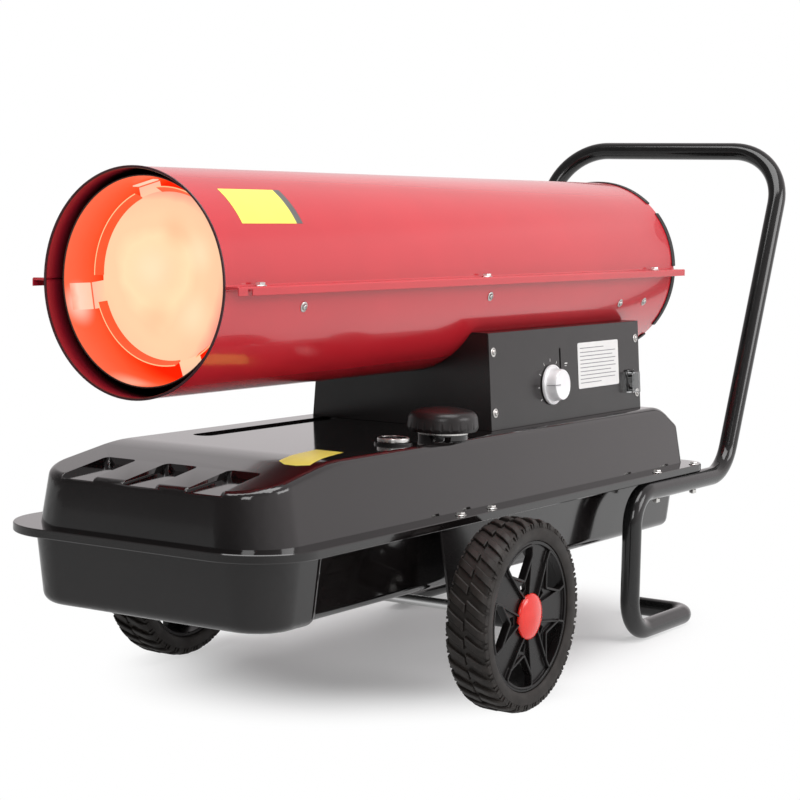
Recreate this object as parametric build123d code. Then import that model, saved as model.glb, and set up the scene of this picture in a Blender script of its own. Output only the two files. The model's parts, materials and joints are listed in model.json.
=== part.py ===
from build123d import *
from math import asin, atan2, cos, degrees, pi, radians, sin, sqrt, tan
import os

os.makedirs("parts", exist_ok=True)

# A wheeled oil-fired air heater, in millimetres.  The origin lies on the floor below the middle of the
# heater.  +X runs from the hot outlet to the air inlet, -Y is the control side and +Z is up.

# ---- overall, floor and sheet ---------------------------------------------------------------------
overall_length = 1165.0
overall_height = 606.5
tank_front_x = -overall_length / 2
sheet = 1.2
tank_sheet = 1.5
touch_gap = 0.3

# ---- barrel ---------------------------------------------------------------------------------------
barrel_radius = 109.0
barrel_length = 932.0
barrel_setback = 16.0
barrel_axis_z = 439.0
lip_reach = 16.0
lip_drop = 7.0
lip_overrun = 6.0
hem_depth = 8.0
service_hole_length = 90.0
service_hole_width = 50.0

# ---- combustion chamber and flame baffle ----------------------------------------------------------
chamber_radius = 98.5
chamber_sheet = 1.2
chamber_recess = 17.0
chamber_length = 640.0
chamber_cone_length = 45.0
chamber_throat_radius = 46.0
strap_width = 20.0
strap_foot_angle = 10.0
strap_angles = (-11.0, 191.0, 270.0)
strap_places = (125.5, 476.0)
baffle_radius = 87.0
baffle_depth = 36.0
baffle_rim = 10.0
baffle_lift = 5.5
baffle_sheet = 1.5
baffle_tab_width = 23.0
baffle_tab_foot = 20.0
baffle_turn = -10.0
baffle_dish_radius = 46.0
baffle_dish_depth = 12.0

# ---- burner ---------------------------------------------------------------------------------------
burner_radius = 44.0
burner_length = 42.0
burner_cup_depth = 30.0
burner_vane_count = 8
nozzle_body_radius = 9.0
nozzle_body_length = 34.0
electrode_radius = 2.5
electrode_length = 52.0
electrode_spread = 12.0
photocell_radius = 7.0
photocell_length = 16.0
line_radius = 3.0
line_place = 6.5
line_bend = 9.0
fuel_line_entry_drop = 88.0
fuel_line_slope_drop = 62.0
fuel_line_slope_run = 40.0
fuel_line_end_drop = 42.0
air_line_offset = 14.0
air_line_end_offset = 40.0
air_line_end_drop = 52.0

# ---- fan, motor and air pump ----------------------------------------------------------------------
fan_radius = 99.0
fan_hub_radius = 21.0
fan_hub_length = 26.0
fan_blade_count = 5
fan_blade_sheet = 2.0
fan_root_chord = 30.0
fan_tip_chord = 58.0
fan_root_pitch = 50.0
fan_tip_pitch = 62.0
fan_gap = 20.0
shaft_radius = 5.0
running_gap = 0.05
motor_radius = 46.0
motor_length = 96.0
motor_gap = 12.0
motor_bell_radius = 36.0
motor_bell_length = 10.0
bracket_sheet = 2.0
bracket_length = 120.0
bracket_foot_angle = 14.0
pump_radius = 36.0
pump_length = 26.0
pump_bore_radius = 27.0
pump_offset = 3.0
pump_rotor_radius = 23.0
pump_cover_length = 24.0

# ---- rear guard and rim edging --------------------------------------------------------------------
guard_wire_radius = 1.6
guard_ring_count = 5
guard_spoke_count = 8
guard_stand_off = 4.0
guard_hub_radius = 9.0
guard_foot_length = 16.0
clip_angles = (45.0, 135.0, 225.0, 315.0)
clip_gap_angle = 9.0
trim_width = 4.5
trim_depth = 8.0

# ---- housing under the barrel and its controls ----------------------------------------------------
housing_setback = 480.0
housing_length = 363.0
housing_top_drop = 62.0
housing_bottom_half = 120.0
housing_top_half = 112.5
housing_top_return = 16.0
plate_tab = 14.0
panel_screw_inset = 9.0
panel_screw_low = 19.0
panel_screw_high = 86.0
knob_along = 137.0
knob_up = 42.5
knob_skirt_radius = 23.0
knob_skirt_thickness = 3.5
knob_body_radius = 19.0
knob_face_radius = 17.2
knob_height = 15.5
knob_shaft_radius = 3.0
knob_bush_radius = 4.5
slot_along = 160.5
slot_up = 71.0
slot_length = 25.0
slot_width = 3.2
switch_along = 335.0
switch_up = 33.0
switch_width = 15.0
switch_height = 22.0
switch_depth = 18.0
cover_depth = 10.0
cover_wall = 1.2
rocker_throw = 20.0
rocker_pivot_out = -1.0
rocker_pin_radius = 1.2
rocker_pin_reach = 1.0
hinge_width = 12.0
hinge_up = 3.2
hinge_out = 1.8
hinge_radius = 1.4
hinge_pin_radius = 0.7
label_along = 255.0
label_up = 60.0
label_length = 103.0
label_height = 54.0

# ---- fuel tank ------------------------------------------------------------------------------------
flange_length = 930.0
flange_half = 177.0
flange_top_z = 199.0
flange_front_radius = 74.0
flange_rear_radius = 35.0
flange_hem = 8.5
flange_bead = 2.4
upper_front_overhang = 22.0
upper_rear_overhang = 17.5
upper_half = 151.0
upper_height = 72.0
upper_front_radius = 58.0
upper_rear_radius = 17.0
upper_side_draft = 10.0
upper_end_draft = 5.5
upper_edge_radius = 9.0
nose_slope_start = 150.0
nose_edge_x = 28.0
nose_edge_drop = 21.0
nose_bend_radius = 250.0
rear_slope_start = 64.5
rear_slope_x = 15.5
rear_slope_drop = 31.0
rear_bend_radius = 60.0
window_count = 3
window_pitch = 77.0
window_width = 40.0
window_end = 94.0
window_front_drop = 24.0
window_rear_drop = 16.5
window_radius = 6.0
groove_start = 232.0
groove_length = 260.0
groove_y = 92.0
groove_width = 24.0
groove_depth = 2.5
tub_front_overhang = 24.0
tub_rear_overhang = 15.0
tub_half = 157.0
tub_waist_half = 146.0
tub_waist_start = 112.0
tub_bottom_z = 118.0
tub_draft = 6.5
tub_front_radius = 52.0
tub_rear_radius = 30.0
tub_waist_radius = 22.0
tub_waist_root_radius = 8.0
tub_bottom_radius = 12.0

# ---- filler and gauge -----------------------------------------------------------------------------
filler_from_front = 389.0
filler_y = -113.0
filler_boss_radius = 27.0
filler_boss_height = 5.0
boss_flank = 22.0
boss_flank_run = 14.0
neck_radius = 24.0
neck_wall = 2.0
neck_height = 14.0
strainer_radius = 19.0
strainer_depth = 55.0
strainer_wall = 1.2
cap_radius = 38.0
cap_height = 25.0
cap_wall = 3.0
cap_dome_reach = 28.0
cap_dome_drop = 3.0
cap_shoulder = 12.0
cap_grips = 24
cap_grip_radius = 3.0
cap_thread_gap = 0.6
cap_rise = 9.0
gasket_thickness = 2.5
gauge_from_front = 309.0
gauge_y = -103.0
gauge_pad_radius = 20.0
gauge_pad_height = 2.0
gauge_radius = 16.5
gauge_height = 4.5
gauge_stem_radius = 7.0
gauge_stem_length = 62.0
float_arm_length = 105.0
float_arm_radius = 1.5
float_rest_angle = 45.0
float_radius = 13.0
float_length = 30.0

# ---- wheels and axle ------------------------------------------------------------------------------
wheel_radius = 100.0
wheel_setback = 359.4
overall_width = 490.0
tyre_width = 47.0
tyre_inner_radius = 78.0
tyre_shoulder = 5.0
tread_lug_count = 30
tread_lug_depth = 2.4
tread_lug_width = 7.0
rim_wall = 4.0
rim_inset = 4.0
rim_face_inset = 7.0
web_thickness = 5.0
spoke_count = 5
window_inner_radius = 42.0
window_outer_radius = 72.5
window_half_angle = 20.0
window_turn = 38.0
spoke_rib = 2.5
spoke_rib_height = 4.0
hub_radius = 15.0
hub_cap_radius = 24.0
hub_cap_rise = 8.5
hub_cap_stand_out = 2.5
axle_radius = 5.5
washer_thickness = 2.0
washer_radius = 11.0
pin_radius = 1.6
bracket_plate = 3.0
bracket_stand_off = 9.0
bracket_front = 44.0
bracket_rear = 70.0
bracket_foot_radius = 20.0
bracket_bolt_places = (-18.0, 44.5)
bolt_inset = 10.5

# ---- handle and legs ------------------------------------------------------------------------------
tube_radius = 11.5
tube_wall = 1.6
handle_half = 171.0
handle_rake = 0.411
handle_top_radius = 75.0
handle_low_radius = 55.0
leg_setback = 727.0
leg_top_radius = 38.0
leg_foot_radius = 42.0
foot_length = 165.0
foot_hook = 66.0
foot_hook_radius = 24.0
handle_bolt_places = (790.0, 893.0)

# ---- fasteners ------------------------------------------------------------------------------------
bolt_radius = 2.5
bolt_head_radius = 5.0
bolt_head_height = 3.5
nut_radius = 4.8
nut_height = 4.0
screw_head_radius = 4.4
screw_head_height = 2.6
screw_length = 4.5
lip_bolt_places = (43.0, 451.0, 860.0)
side_screw_places = (125.5, 476.0, 798.0, 863.0)

# ---- places worked out from the sizes above -------------------------------------------------------
barrel_front_x = tank_front_x + barrel_setback
barrel_rear_x = barrel_front_x + barrel_length
chamber_front_x = barrel_front_x + chamber_recess
chamber_rear_x = chamber_front_x + chamber_length
baffle_x = chamber_front_x + baffle_depth
burner_front_x = chamber_rear_x - 6.0
burner_rear_x = burner_front_x + burner_length
fan_x = burner_rear_x + fan_gap
motor_front_x = fan_x + fan_hub_length + motor_gap
motor_rear_x = motor_front_x + motor_length
pump_x = motor_rear_x + motor_bell_length
cover_x = pump_x + pump_length
axle_x = tank_front_x + wheel_setback
axle_z = wheel_radius
tank_rear_x = tank_front_x + flange_length
tank_top_z = flange_top_z + upper_height
housing_x0 = tank_front_x + housing_setback
housing_x1 = housing_x0 + housing_length
housing_z0 = tank_top_z
housing_height = barrel_axis_z - housing_top_drop - housing_z0
handle_bar_z = overall_height - tube_radius
panel_lean = degrees(atan2(housing_bottom_half - housing_top_half, housing_height))
filler_x = tank_front_x + filler_from_front
gauge_x = tank_front_x + gauge_from_front
flange_low_z = flange_top_z - 2 * tank_sheet
hem_low_z = flange_top_z - flange_hem
tube_run_z = hem_low_z - tube_radius


def rod_x(x0, x1, y, z, radius):
    """Round bar along X from x0 to x1."""
    return Pos((x0 + x1) / 2, y, z) * Rot(0, 90, 0) * Cylinder(radius, abs(x1 - x0))


def rod_y(x, y0, y1, z, radius):
    """Round bar along Y from y0 to y1."""
    return Pos(x, (y0 + y1) / 2, z) * Rot(90, 0, 0) * Cylinder(radius, abs(y1 - y0))


def rod_z(x, y, z0, z1, radius):
    """Round bar along Z from z0 to z1."""
    return Pos(x, y, (z0 + z1) / 2) * Cylinder(radius, abs(z1 - z0))


def across(sketch, x0, length):
    """Extrude a section drawn across the barrel, about its axis, from x0 along +X."""
    return extrude(Plane((x0, 0, barrel_axis_z), x_dir=(0, 1, 0), z_dir=(1, 0, 0)) * sketch, length)


def turned_x(points, angle=360):
    """Turn a profile of (x, radius) points about the barrel axis."""
    face = Plane((0, 0, barrel_axis_z), x_dir=(1, 0, 0), z_dir=(0, -1, 0)) * make_face(Polyline(points, close=True))
    return revolve(face, Axis((0, 0, barrel_axis_z), (1, 0, 0)), angle)


def sector(inner, outer, start, end):
    """Flat ring sector between two radii and two angles from the +Y side."""
    ring = Circle(outer) - Circle(inner)
    middle = radians((start + end) / 2)
    half = radians((end - start) / 2)
    reach = 2 * outer / cos(half)
    corners = [(0, 0), (reach * cos(middle - half), reach * sin(middle - half)),
               (reach * cos(middle + half), reach * sin(middle + half))]
    return ring & make_face(Polyline(corners, close=True))


def around(angle, shape):
    """Turn a shape about the barrel axis."""
    return shape.rotate(Axis((0, 0, barrel_axis_z), (1, 0, 0)), angle)


def hexagon_z(x, y, z0, height, radius):
    return Pos(x, y, z0) * extrude(RegularPolygon(radius, 6), height)


# ---- barrel shells --------------------------------------------------------------------------------
def lip_bolt_points():
    side_y = barrel_radius + lip_reach / 2
    return [(barrel_front_x + place, side * side_y) for place in lip_bolt_places for side in (-1, 1)]


def half_disc(radius, side):
    return Pos(0, side * radius) * Rectangle(4 * radius, 2 * radius)


def pipe_section(outer, side):
    return (Circle(outer) - Circle(outer - sheet)) & half_disc(2 * outer, side)


def barrel_upper_shell():
    section = pipe_section(barrel_radius, 1)
    reach = lip_reach + sheet
    for side in (-1, 1):
        section += Pos(side * (barrel_radius - sheet + reach / 2), sheet / 2) * Rectangle(reach, sheet)
        edge_y = side * (barrel_radius + lip_reach - sheet / 2)
        section += Pos(edge_y, (sheet - lip_drop) / 2) * Rectangle(sheet, lip_drop + sheet)
    shell = across(section, barrel_front_x, barrel_length + lip_overrun)
    shell -= across(Pos(0, barrel_radius) * Rectangle(2 * barrel_radius, 2 * barrel_radius - 2 * sheet - 0.02)
                    & Circle(barrel_radius), barrel_rear_x, lip_overrun)
    hem = (Circle(barrel_radius - sheet) - Circle(barrel_radius - 2 * sheet)) & half_disc(2 * barrel_radius, 1)
    shell += across(hem, barrel_front_x, hem_depth)
    for x, y in lip_bolt_points():
        shell -= rod_z(x, y, barrel_axis_z - lip_drop, barrel_axis_z + 2 * sheet, bolt_radius)
    return [shell]


def barrel_lower_shell():
    section = pipe_section(barrel_radius, -1)
    reach = lip_reach - touch_gap
    for side in (-1, 1):
        section += Pos(side * (barrel_radius - sheet + reach / 2), -sheet / 2) * Rectangle(reach, sheet)
    shell = across(section, barrel_front_x, barrel_length)
    hem = (Circle(barrel_radius - sheet) - Circle(barrel_radius - 2 * sheet)) & half_disc(2 * barrel_radius, -1)
    shell += across(hem, barrel_front_x, hem_depth)
    for x, y in lip_bolt_points():
        shell -= rod_z(x, y, barrel_axis_z - lip_drop, barrel_axis_z + 2 * sheet, bolt_radius)
    for x, angle in side_screw_points():
        shell -= around(angle, rod_y(x, barrel_radius - 3 * sheet, barrel_radius + sheet, barrel_axis_z, bolt_radius))
    shell -= Pos(service_x(), 0, barrel_axis_z - barrel_radius) * Box(service_hole_length, service_hole_width, 6 * sheet)
    return [shell]


def lip_screws():
    return [rod_z(x, y, barrel_axis_z - sheet - nut_height - 1.0, barrel_axis_z + sheet, bolt_radius)
            + hexagon_z(x, y, barrel_axis_z + sheet, bolt_head_height, bolt_head_radius)
            for x, y in lip_bolt_points()]


def side_screw_points():
    """(x, angle) of the screws low on both sides; the last two pairs hold the motor bracket."""
    points = []
    for index, place in enumerate(side_screw_places):
        drop = 11.0 if index < 2 else 20.5
        points += [(barrel_front_x + place, -drop), (barrel_front_x + place, 180.0 + drop)]
    return points


# ---- chamber, straps and baffle -------------------------------------------------------------------
def combustion_chamber():
    t = chamber_sheet
    r = chamber_radius
    cone_x = chamber_rear_x - chamber_cone_length
    throat = burner_radius + running_gap
    profile = [(chamber_front_x, r), (cone_x, r), (chamber_rear_x, chamber_throat_radius + 8),
               (chamber_rear_x, throat), (chamber_rear_x - t, throat), (chamber_rear_x - t, chamber_throat_radius + 7),
               (cone_x - t / 2, r - t), (chamber_front_x, r - t)]
    return [turned_x(profile)]


def chamber_supports():
    """Z shaped straps: one foot on the barrel wall under the screw, the other on the chamber."""
    straps = []
    inner = chamber_radius
    outer = barrel_radius - sheet
    foot = strap_foot_angle
    web = 1.2
    for place in strap_places:
        for angle in strap_angles:
            section = sector(outer - bracket_sheet, outer, angle - foot / 2, angle + foot / 2)
            section += sector(inner, outer, angle + foot / 2 - web, angle + foot / 2)
            section += sector(inner, inner + bracket_sheet, angle + foot / 2 - web, angle + 3 * foot / 2)
            straps.append(across(section, barrel_front_x + place - strap_width / 2, strap_width))
    for x, angle in side_screw_points()[:4]:
        drill = around(angle, rod_y(x, chamber_radius + bracket_sheet, barrel_radius, barrel_axis_z, bolt_radius))
        straps = [strap - drill for strap in straps]
    return straps


def flame_baffle():
    t = baffle_sheet
    r = baffle_radius
    dish = baffle_dish_radius
    profile = [(baffle_x - baffle_rim, r), (baffle_x + t, r), (baffle_x + t, dish),
               (baffle_x + t + baffle_dish_depth, dish * 0.25), (baffle_x + t + baffle_dish_depth, 0),
               (baffle_x + baffle_dish_depth, 0), (baffle_x + baffle_dish_depth, dish * 0.25 - t / 2),
               (baffle_x, dish - t / 2), (baffle_x, r - t), (baffle_x - baffle_rim, r - t)]
    pan = Pos(0, 0, baffle_lift) * turned_x(profile)
    wall = chamber_radius - chamber_sheet
    root = r - baffle_lift - 2 * t
    section = Pos((root + wall) / 2, 0) * Rectangle(wall - root, baffle_tab_width)
    section = section & Circle(wall)
    arm = across(section, baffle_x, t)
    foot = Pos(wall, 0) * Rectangle(8, baffle_tab_width) & (Circle(wall) - Circle(wall - t))
    foot_piece = across(foot, baffle_x + t - baffle_tab_foot, baffle_tab_foot)
    for turn in range(4):
        pan += around(90 * turn + baffle_turn, arm + foot_piece)
    return [pan]


# ---- burner ---------------------------------------------------------------------------------------
def burner_head():
    x0, x1 = burner_front_x, burner_rear_x
    r = burner_radius
    profile = [(x0, r), (x1, r), (x1, nozzle_body_radius), (x0 + burner_cup_depth, nozzle_body_radius),
               (x0 + burner_cup_depth, r - 3), (x0, r - 3)]
    head = turned_x(profile)
    flange = turned_x([(chamber_rear_x, r), (chamber_rear_x + 2, r), (chamber_rear_x + 2, r + 9), (chamber_rear_x, r + 9)])
    head += flange
    for index in range(burner_vane_count):
        vane = Pos(x0 + burner_cup_depth - 4, (r - 3 + nozzle_body_radius) / 2 + 4, barrel_axis_z) \
            * Rot(30, 0, 0) * Box(8, r - nozzle_body_radius - 18, 2)
        head += around(360 * index / burner_vane_count, vane)
    for y, z in electrode_points():
        head -= rod_x(x0, x1 + 1, y, z, electrode_radius)
    head -= rod_x(x0 + burner_cup_depth - 1, x1 + 1, photocell_y(), barrel_axis_z - 8, photocell_radius)
    return [head]


def photocell_y():
    return -burner_radius * 0.58


def electrode_points():
    return [(side * electrode_spread, barrel_axis_z + 16.0) for side in (-1, 1)]


def fuel_nozzle():
    x1 = burner_rear_x
    x0 = burner_front_x + burner_cup_depth
    body = rod_x(x0, x1, 0, barrel_axis_z, nozzle_body_radius)
    tip = turned_x([(x0, 0), (x0 - 12, 0), (x0 - 12, 4), (x0 - 4, 8), (x0, 8)])
    tail = rod_x(x1, x1 + 2 * line_place, 0, barrel_axis_z, nozzle_body_radius)
    return [body + tip + tail]


def igniter_electrodes():
    rods = []
    x1 = burner_rear_x + 6
    x0 = x1 - electrode_length
    for y, z in electrode_points():
        sleeve = rod_x(x0 + 12, x1, y, z, electrode_radius)
        wire = rod_x(x0, x0 + 12, y, z, 1.0)
        rods.append(sleeve + wire)
    return rods


def photocell():
    x1 = burner_rear_x + 6
    return [rod_x(x1 - photocell_length, x1, photocell_y(), barrel_axis_z - 8, photocell_radius - running_gap)]


# ---- fan, shaft, motor and pump -------------------------------------------------------------------
def blade_section(radius, chord, pitch):
    plane = Plane((fan_x + fan_hub_length / 2, 0, barrel_axis_z + radius), x_dir=(1, 0, 0), z_dir=(0, 0, 1))
    return plane * Rot(0, 0, pitch) * Rectangle(chord, fan_blade_sheet)


def fan():
    wheel = turned_x([(fan_x, 0), (fan_x, fan_hub_radius - 4), (fan_x + 4, fan_hub_radius),
                      (fan_x + fan_hub_length, fan_hub_radius), (fan_x + fan_hub_length, 0)])
    middle = (fan_hub_radius + fan_radius) / 2
    blade = loft([blade_section(fan_hub_radius - 3, fan_root_chord, fan_root_pitch),
                  blade_section(middle, (fan_root_chord + fan_tip_chord) / 2, (fan_root_pitch + fan_tip_pitch) / 2),
                  blade_section(fan_radius - 3, fan_tip_chord, fan_tip_pitch)])
    blade = blade & rod_x(fan_x - 60, fan_x + 60, 0, barrel_axis_z, fan_radius)
    for index in range(fan_blade_count):
        wheel += around(360 * index / fan_blade_count, blade)
    wheel -= rod_x(fan_x + 5, fan_x + fan_hub_length + 1, 0, barrel_axis_z, shaft_radius)
    return [wheel]


def motor_shaft():
    return [rod_x(fan_x + 5, cover_x - 4, 0, barrel_axis_z, shaft_radius)]


def motor_housing():
    x0, x1 = motor_front_x, motor_rear_x
    r, b = motor_radius, motor_bell_radius
    bore = shaft_radius + running_gap
    bell = motor_bell_length
    body = turned_x([(x0, bore), (x0, b - 6), (x0 + 2, b), (x0 + bell, r), (x1 - bell, r), (x1, b), (x1, bore)])
    for index in range(12):
        body -= around(30 * index, Pos(x0 + bell / 2 + 2, 0, barrel_axis_z + b - 4) * Box(bell + 8, 5, 8))
    return [body]


def motor_bracket():
    """Shelf under the motor with two saddles, turned up along the barrel wall at both sides."""
    outer = barrel_radius - sheet
    shelf_z = -(motor_radius + 6)
    shelf_half = sqrt((outer - bracket_sheet) ** 2 - shelf_z ** 2)
    foot_low = degrees(atan2(shelf_z - bracket_sheet, shelf_half))
    section = Pos(0, shelf_z - bracket_sheet / 2) * Rectangle(2 * shelf_half, bracket_sheet)
    section += sector(outer - bracket_sheet, outer, foot_low, -bracket_foot_angle)
    section += sector(outer - bracket_sheet, outer, 180.0 + bracket_foot_angle, 180.0 - foot_low)
    shelf = across(section, motor_front_x + 6, bracket_length)
    saddle = Pos(0, (shelf_z - 30) / 2) * Rectangle(56, -shelf_z - 30) - Circle(motor_radius)
    for offset_x in (-24, 24):
        shelf += across(saddle, motor_middle_x() + offset_x - 5, 10)
    for x, angle in side_screw_points()[4:]:
        shelf -= around(angle, rod_y(x, barrel_radius - 9 * sheet, barrel_radius, barrel_axis_z, bolt_radius))
    return [shelf]


def motor_middle_x():
    return (motor_front_x + motor_rear_x) / 2


def pump_body():
    """Pump ring on the motor's rear bell, its bore set off centre round the vaned rotor."""
    bore = shaft_radius + running_gap
    body = turned_x([(motor_rear_x, bore), (motor_rear_x, pump_radius - 8), (pump_x, pump_radius), (cover_x, pump_radius),
                     (cover_x, bore)])
    return [body - rod_x(pump_x + 4, cover_x, 0, barrel_axis_z + pump_offset, pump_bore_radius)]


def pump_rotor():
    rotor = rod_x(pump_x + 4.2, cover_x - 0.2, 0, barrel_axis_z, pump_rotor_radius)
    rotor -= rod_x(pump_x, cover_x - 4, 0, barrel_axis_z, shaft_radius)
    for index in range(4):
        slot = Pos((pump_x + cover_x) / 2, 0, barrel_axis_z + pump_rotor_radius - 5) * Box(pump_length, 3, 10)
        rotor -= around(90 * index, slot)
    return [rotor]


def pump_vanes():
    length = pump_length - 4.4
    vane = Pos(pump_x + 4.2 + length / 2, 0, barrel_axis_z + pump_rotor_radius - 5.4) * Box(length, 3, 9)
    return [around(90 * index, vane) for index in range(4)]


def pump_cover():
    """End cover with the air filter's lid and the pressure screw."""
    x0 = cover_x
    x1 = cover_x + pump_cover_length
    body = turned_x([(x0, 0), (x0, pump_radius), (x1 - 12, pump_radius), (x1 - 12, pump_radius - 5),
                     (x1 - 2, pump_radius - 5), (x1, pump_radius - 7), (x1, 0)])
    screw = rod_x(x1, x1 + 5, 14, barrel_axis_z + 14, 4)
    return [body + screw]



# ---- rear guard -----------------------------------------------------------------------------------
def guard_x():
    return barrel_rear_x + guard_stand_off


def rear_guard():
    """Grille of rings and spokes round a centre disc, with four feet bent back into the barrel."""
    r = barrel_radius - 2 * sheet - guard_wire_radius
    wire = 2 * guard_wire_radius
    section = Circle(guard_hub_radius)
    for index in range(guard_ring_count):
        middle = r * (index + 1) / guard_ring_count
        section += Circle(middle + wire / 2) - Circle(middle - wire / 2)
    for index in range(guard_spoke_count):
        section += Rot(0, 0, 360 * (index + 0.5) / guard_spoke_count) * Pos(r / 2, 0) * Rectangle(r, wire)
    grille = across(section, guard_x() - wire / 2, wire)
    for angle in clip_angles:
        length = guard_x() - barrel_rear_x + guard_foot_length
        foot = Pos(guard_x() - length / 2, r, barrel_axis_z) * Box(length, wire - 0.8, wire)
        grille += around(angle, foot)
    return [grille]


def guard_clips():
    """Flat clips that hold the guard's bent feet to the barrel wall."""
    clips = []
    outer = barrel_radius - sheet
    foot = outer - sheet - 2 * guard_wire_radius + 0.4
    for angle in clip_angles:
        section = sector(outer - sheet, outer, angle + 2, angle + 7) + sector(outer - sheet, outer, angle - 7, angle - 2)
        section += sector(foot - 1.2, foot, angle - 3.5, angle + 3.5)
        section += sector(foot - 1.2, outer, angle + 2.4, angle + 3.5) + sector(foot - 1.2, outer, angle - 3.5, angle - 2.4)
        clips.append(across(section, barrel_rear_x - 14, 8))
    return clips


def rim_trim():
    """Push-on edging over the rear rim, in lengths between the clips and the side lips."""
    lengths = []
    lip_angle = 2.5
    stops = [(lip_angle, 45.0 - clip_gap_angle / 2), (45.0 + clip_gap_angle / 2, 135.0 - clip_gap_angle / 2),
             (135.0 + clip_gap_angle / 2, 180.0 - lip_angle), (180.0 + lip_angle, 225.0 - clip_gap_angle / 2),
             (225.0 + clip_gap_angle / 2, 315.0 - clip_gap_angle / 2), (315.0 + clip_gap_angle / 2, 360.0 - lip_angle)]
    middle = barrel_radius - sheet / 2
    for start, end in stops:
        band = sector(middle - trim_width / 2, middle + trim_width / 2, start, end)
        piece = across(band, barrel_rear_x - trim_depth + 2, trim_depth)
        piece -= across(Circle(barrel_radius) - Circle(barrel_radius - sheet), barrel_rear_x - trim_depth, trim_depth)
        lengths.append(piece)
    return lengths


# ---- housing and controls -------------------------------------------------------------------------
def housing_plate_section(extra=0.0):
    """Tapered plate seen along X, drawn about the barrel axis, with the arc that carries the barrel."""
    z0 = housing_z0 - barrel_axis_z
    z1 = z0 + housing_height
    low, high = housing_bottom_half - sheet - extra, housing_top_half - sheet - extra
    outline = make_face(Polyline([(-low, z0), (low, z0), (high, z1), (-high, z1)], close=True))
    return outline - Circle(barrel_radius)


def panel_point(along, up, out=0.0, side=-1):
    """Point on a side panel's outer face: along X, up the face and out from it."""
    lean = radians(panel_lean)
    y = side * (housing_bottom_half - up * sin(lean) + out * cos(lean))
    return (housing_x0 + along, y, housing_z0 + up * cos(lean) + out * sin(lean))


def on_panel(along, up, out=0.0, side=-1):
    """Work plane on a side panel: its x runs along X and its z out of the face."""
    lean = radians(panel_lean)
    return Plane(panel_point(along, up, out, side), x_dir=(1, 0, 0) if side < 0 else (-1, 0, 0),
                 z_dir=(0, side * cos(lean), sin(lean)))


def panel_screw_points():
    return [(along, up) for along in (panel_screw_inset, housing_length - panel_screw_inset)
            for up in (panel_screw_low, panel_screw_high)]


def housing_frame():
    t = sheet
    plate = housing_plate_section()
    front = across(plate, housing_x0, t)
    rear = across(plate, housing_x1 - t, t)
    floor_half = housing_bottom_half - t - touch_gap
    floor = Pos((housing_x0 + housing_x1) / 2, 0, housing_z0 + t / 2) * Box(housing_length, 2 * floor_half, t)
    body = front + rear + floor
    band = plate - housing_plate_section(t)
    for x0 in (housing_x0, housing_x1 - plate_tab):
        body += across(band, x0, plate_tab)
    body -= Pos(service_x(), 0, housing_z0) * Cylinder(9, 4 * t)
    body -= rod_x(housing_x1 - 3 * t, housing_x1 + t, 60, housing_z0 + 30, 8)
    for side in (-1, 1):
        for along, up in panel_screw_points():
            body -= on_panel(along, up, 0, side) * Cylinder(bolt_radius, 8 * t)
    return [body]


def side_cover_solid(side):
    """Bent cover: outer face, a return along the top to the barrel and one along the floor."""
    t = sheet
    z0 = housing_z0 - barrel_axis_z
    z1 = z0 + housing_height
    low, high = housing_bottom_half, housing_top_half
    touch_y = sqrt(barrel_radius ** 2 - (z1 + t) ** 2)
    outline = [(side * low, z0), (side * (low - t), z0), (side * (high - t), z1), (side * touch_y, z1),
               (side * touch_y, z1 + t), (side * high, z1 + t), (side * high, z1)]
    section = make_face(Polyline(outline, close=True)) - Circle(barrel_radius + touch_gap)
    cover = across(section, housing_x0, housing_length)
    for along, up in panel_screw_points():
        cover -= on_panel(along, up, 0, side) * Cylinder(bolt_radius, 8 * t)
    return cover


def control_panel():
    panel = side_cover_solid(-1)
    panel -= on_panel(knob_along, knob_up) * Cylinder(knob_bush_radius, 8 * sheet)
    panel -= on_panel(slot_along, slot_up) * Box(slot_width, slot_length, 8 * sheet)
    panel -= on_panel(switch_along, switch_up) * Box(switch_width - 2, switch_height - 2, 8 * sheet)
    return [panel]


def side_cover():
    return [side_cover_solid(1)]


def sheet_screw(place):
    """One screw with its head on the given plane."""
    head = place * Pos(0, 0, screw_head_height / 2) * Cylinder(screw_head_radius, screw_head_height)
    return head + place * Pos(0, 0, -screw_length / 2) * Cylinder(bolt_radius, screw_length)


def sheet_screws():
    """The same screw round the housing's covers and low on the barrel's sides."""
    screws = []
    for side in (-1, 1):
        screws += [sheet_screw(on_panel(along, up, 0, side)) for along, up in panel_screw_points()]
    for x, angle in side_screw_points():
        wall = Plane((x, barrel_radius, barrel_axis_z), x_dir=(1, 0, 0), z_dir=(0, 1, 0))
        screws.append(around(angle, sheet_screw(wall)))
    return screws


def thermostat_body():
    """Thermostat behind the panel, with its bush through the panel and its spindle."""
    block = on_panel(knob_along, knob_up, -sheet - 12) * Box(44, 34, 24)
    bush = on_panel(knob_along, knob_up, touch_gap - 2) * Cylinder(knob_bush_radius, 4)
    spindle = on_panel(knob_along, knob_up, 4) * Cylinder(knob_shaft_radius, 12)
    return [block + bush + spindle]


def thermostat_knob():
    plane = on_panel(knob_along, knob_up, 2 * touch_gap)
    rise = knob_height - knob_skirt_thickness
    skirt = plane * Pos(0, 0, knob_skirt_thickness / 2) * Cylinder(knob_skirt_radius, knob_skirt_thickness)
    lean = degrees(atan2(knob_body_radius - knob_face_radius, rise))
    knob = skirt + extrude(plane.offset(knob_skirt_thickness) * Circle(knob_body_radius), rise, taper=lean)
    knob -= plane * Pos(0, 0, 5) * Cylinder(knob_shaft_radius + running_gap, 11)
    pointer = plane * Pos(0, knob_face_radius * 0.55, knob_height) * Box(1.6, knob_face_radius * 0.7, 1.0)
    return [knob - pointer]


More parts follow.
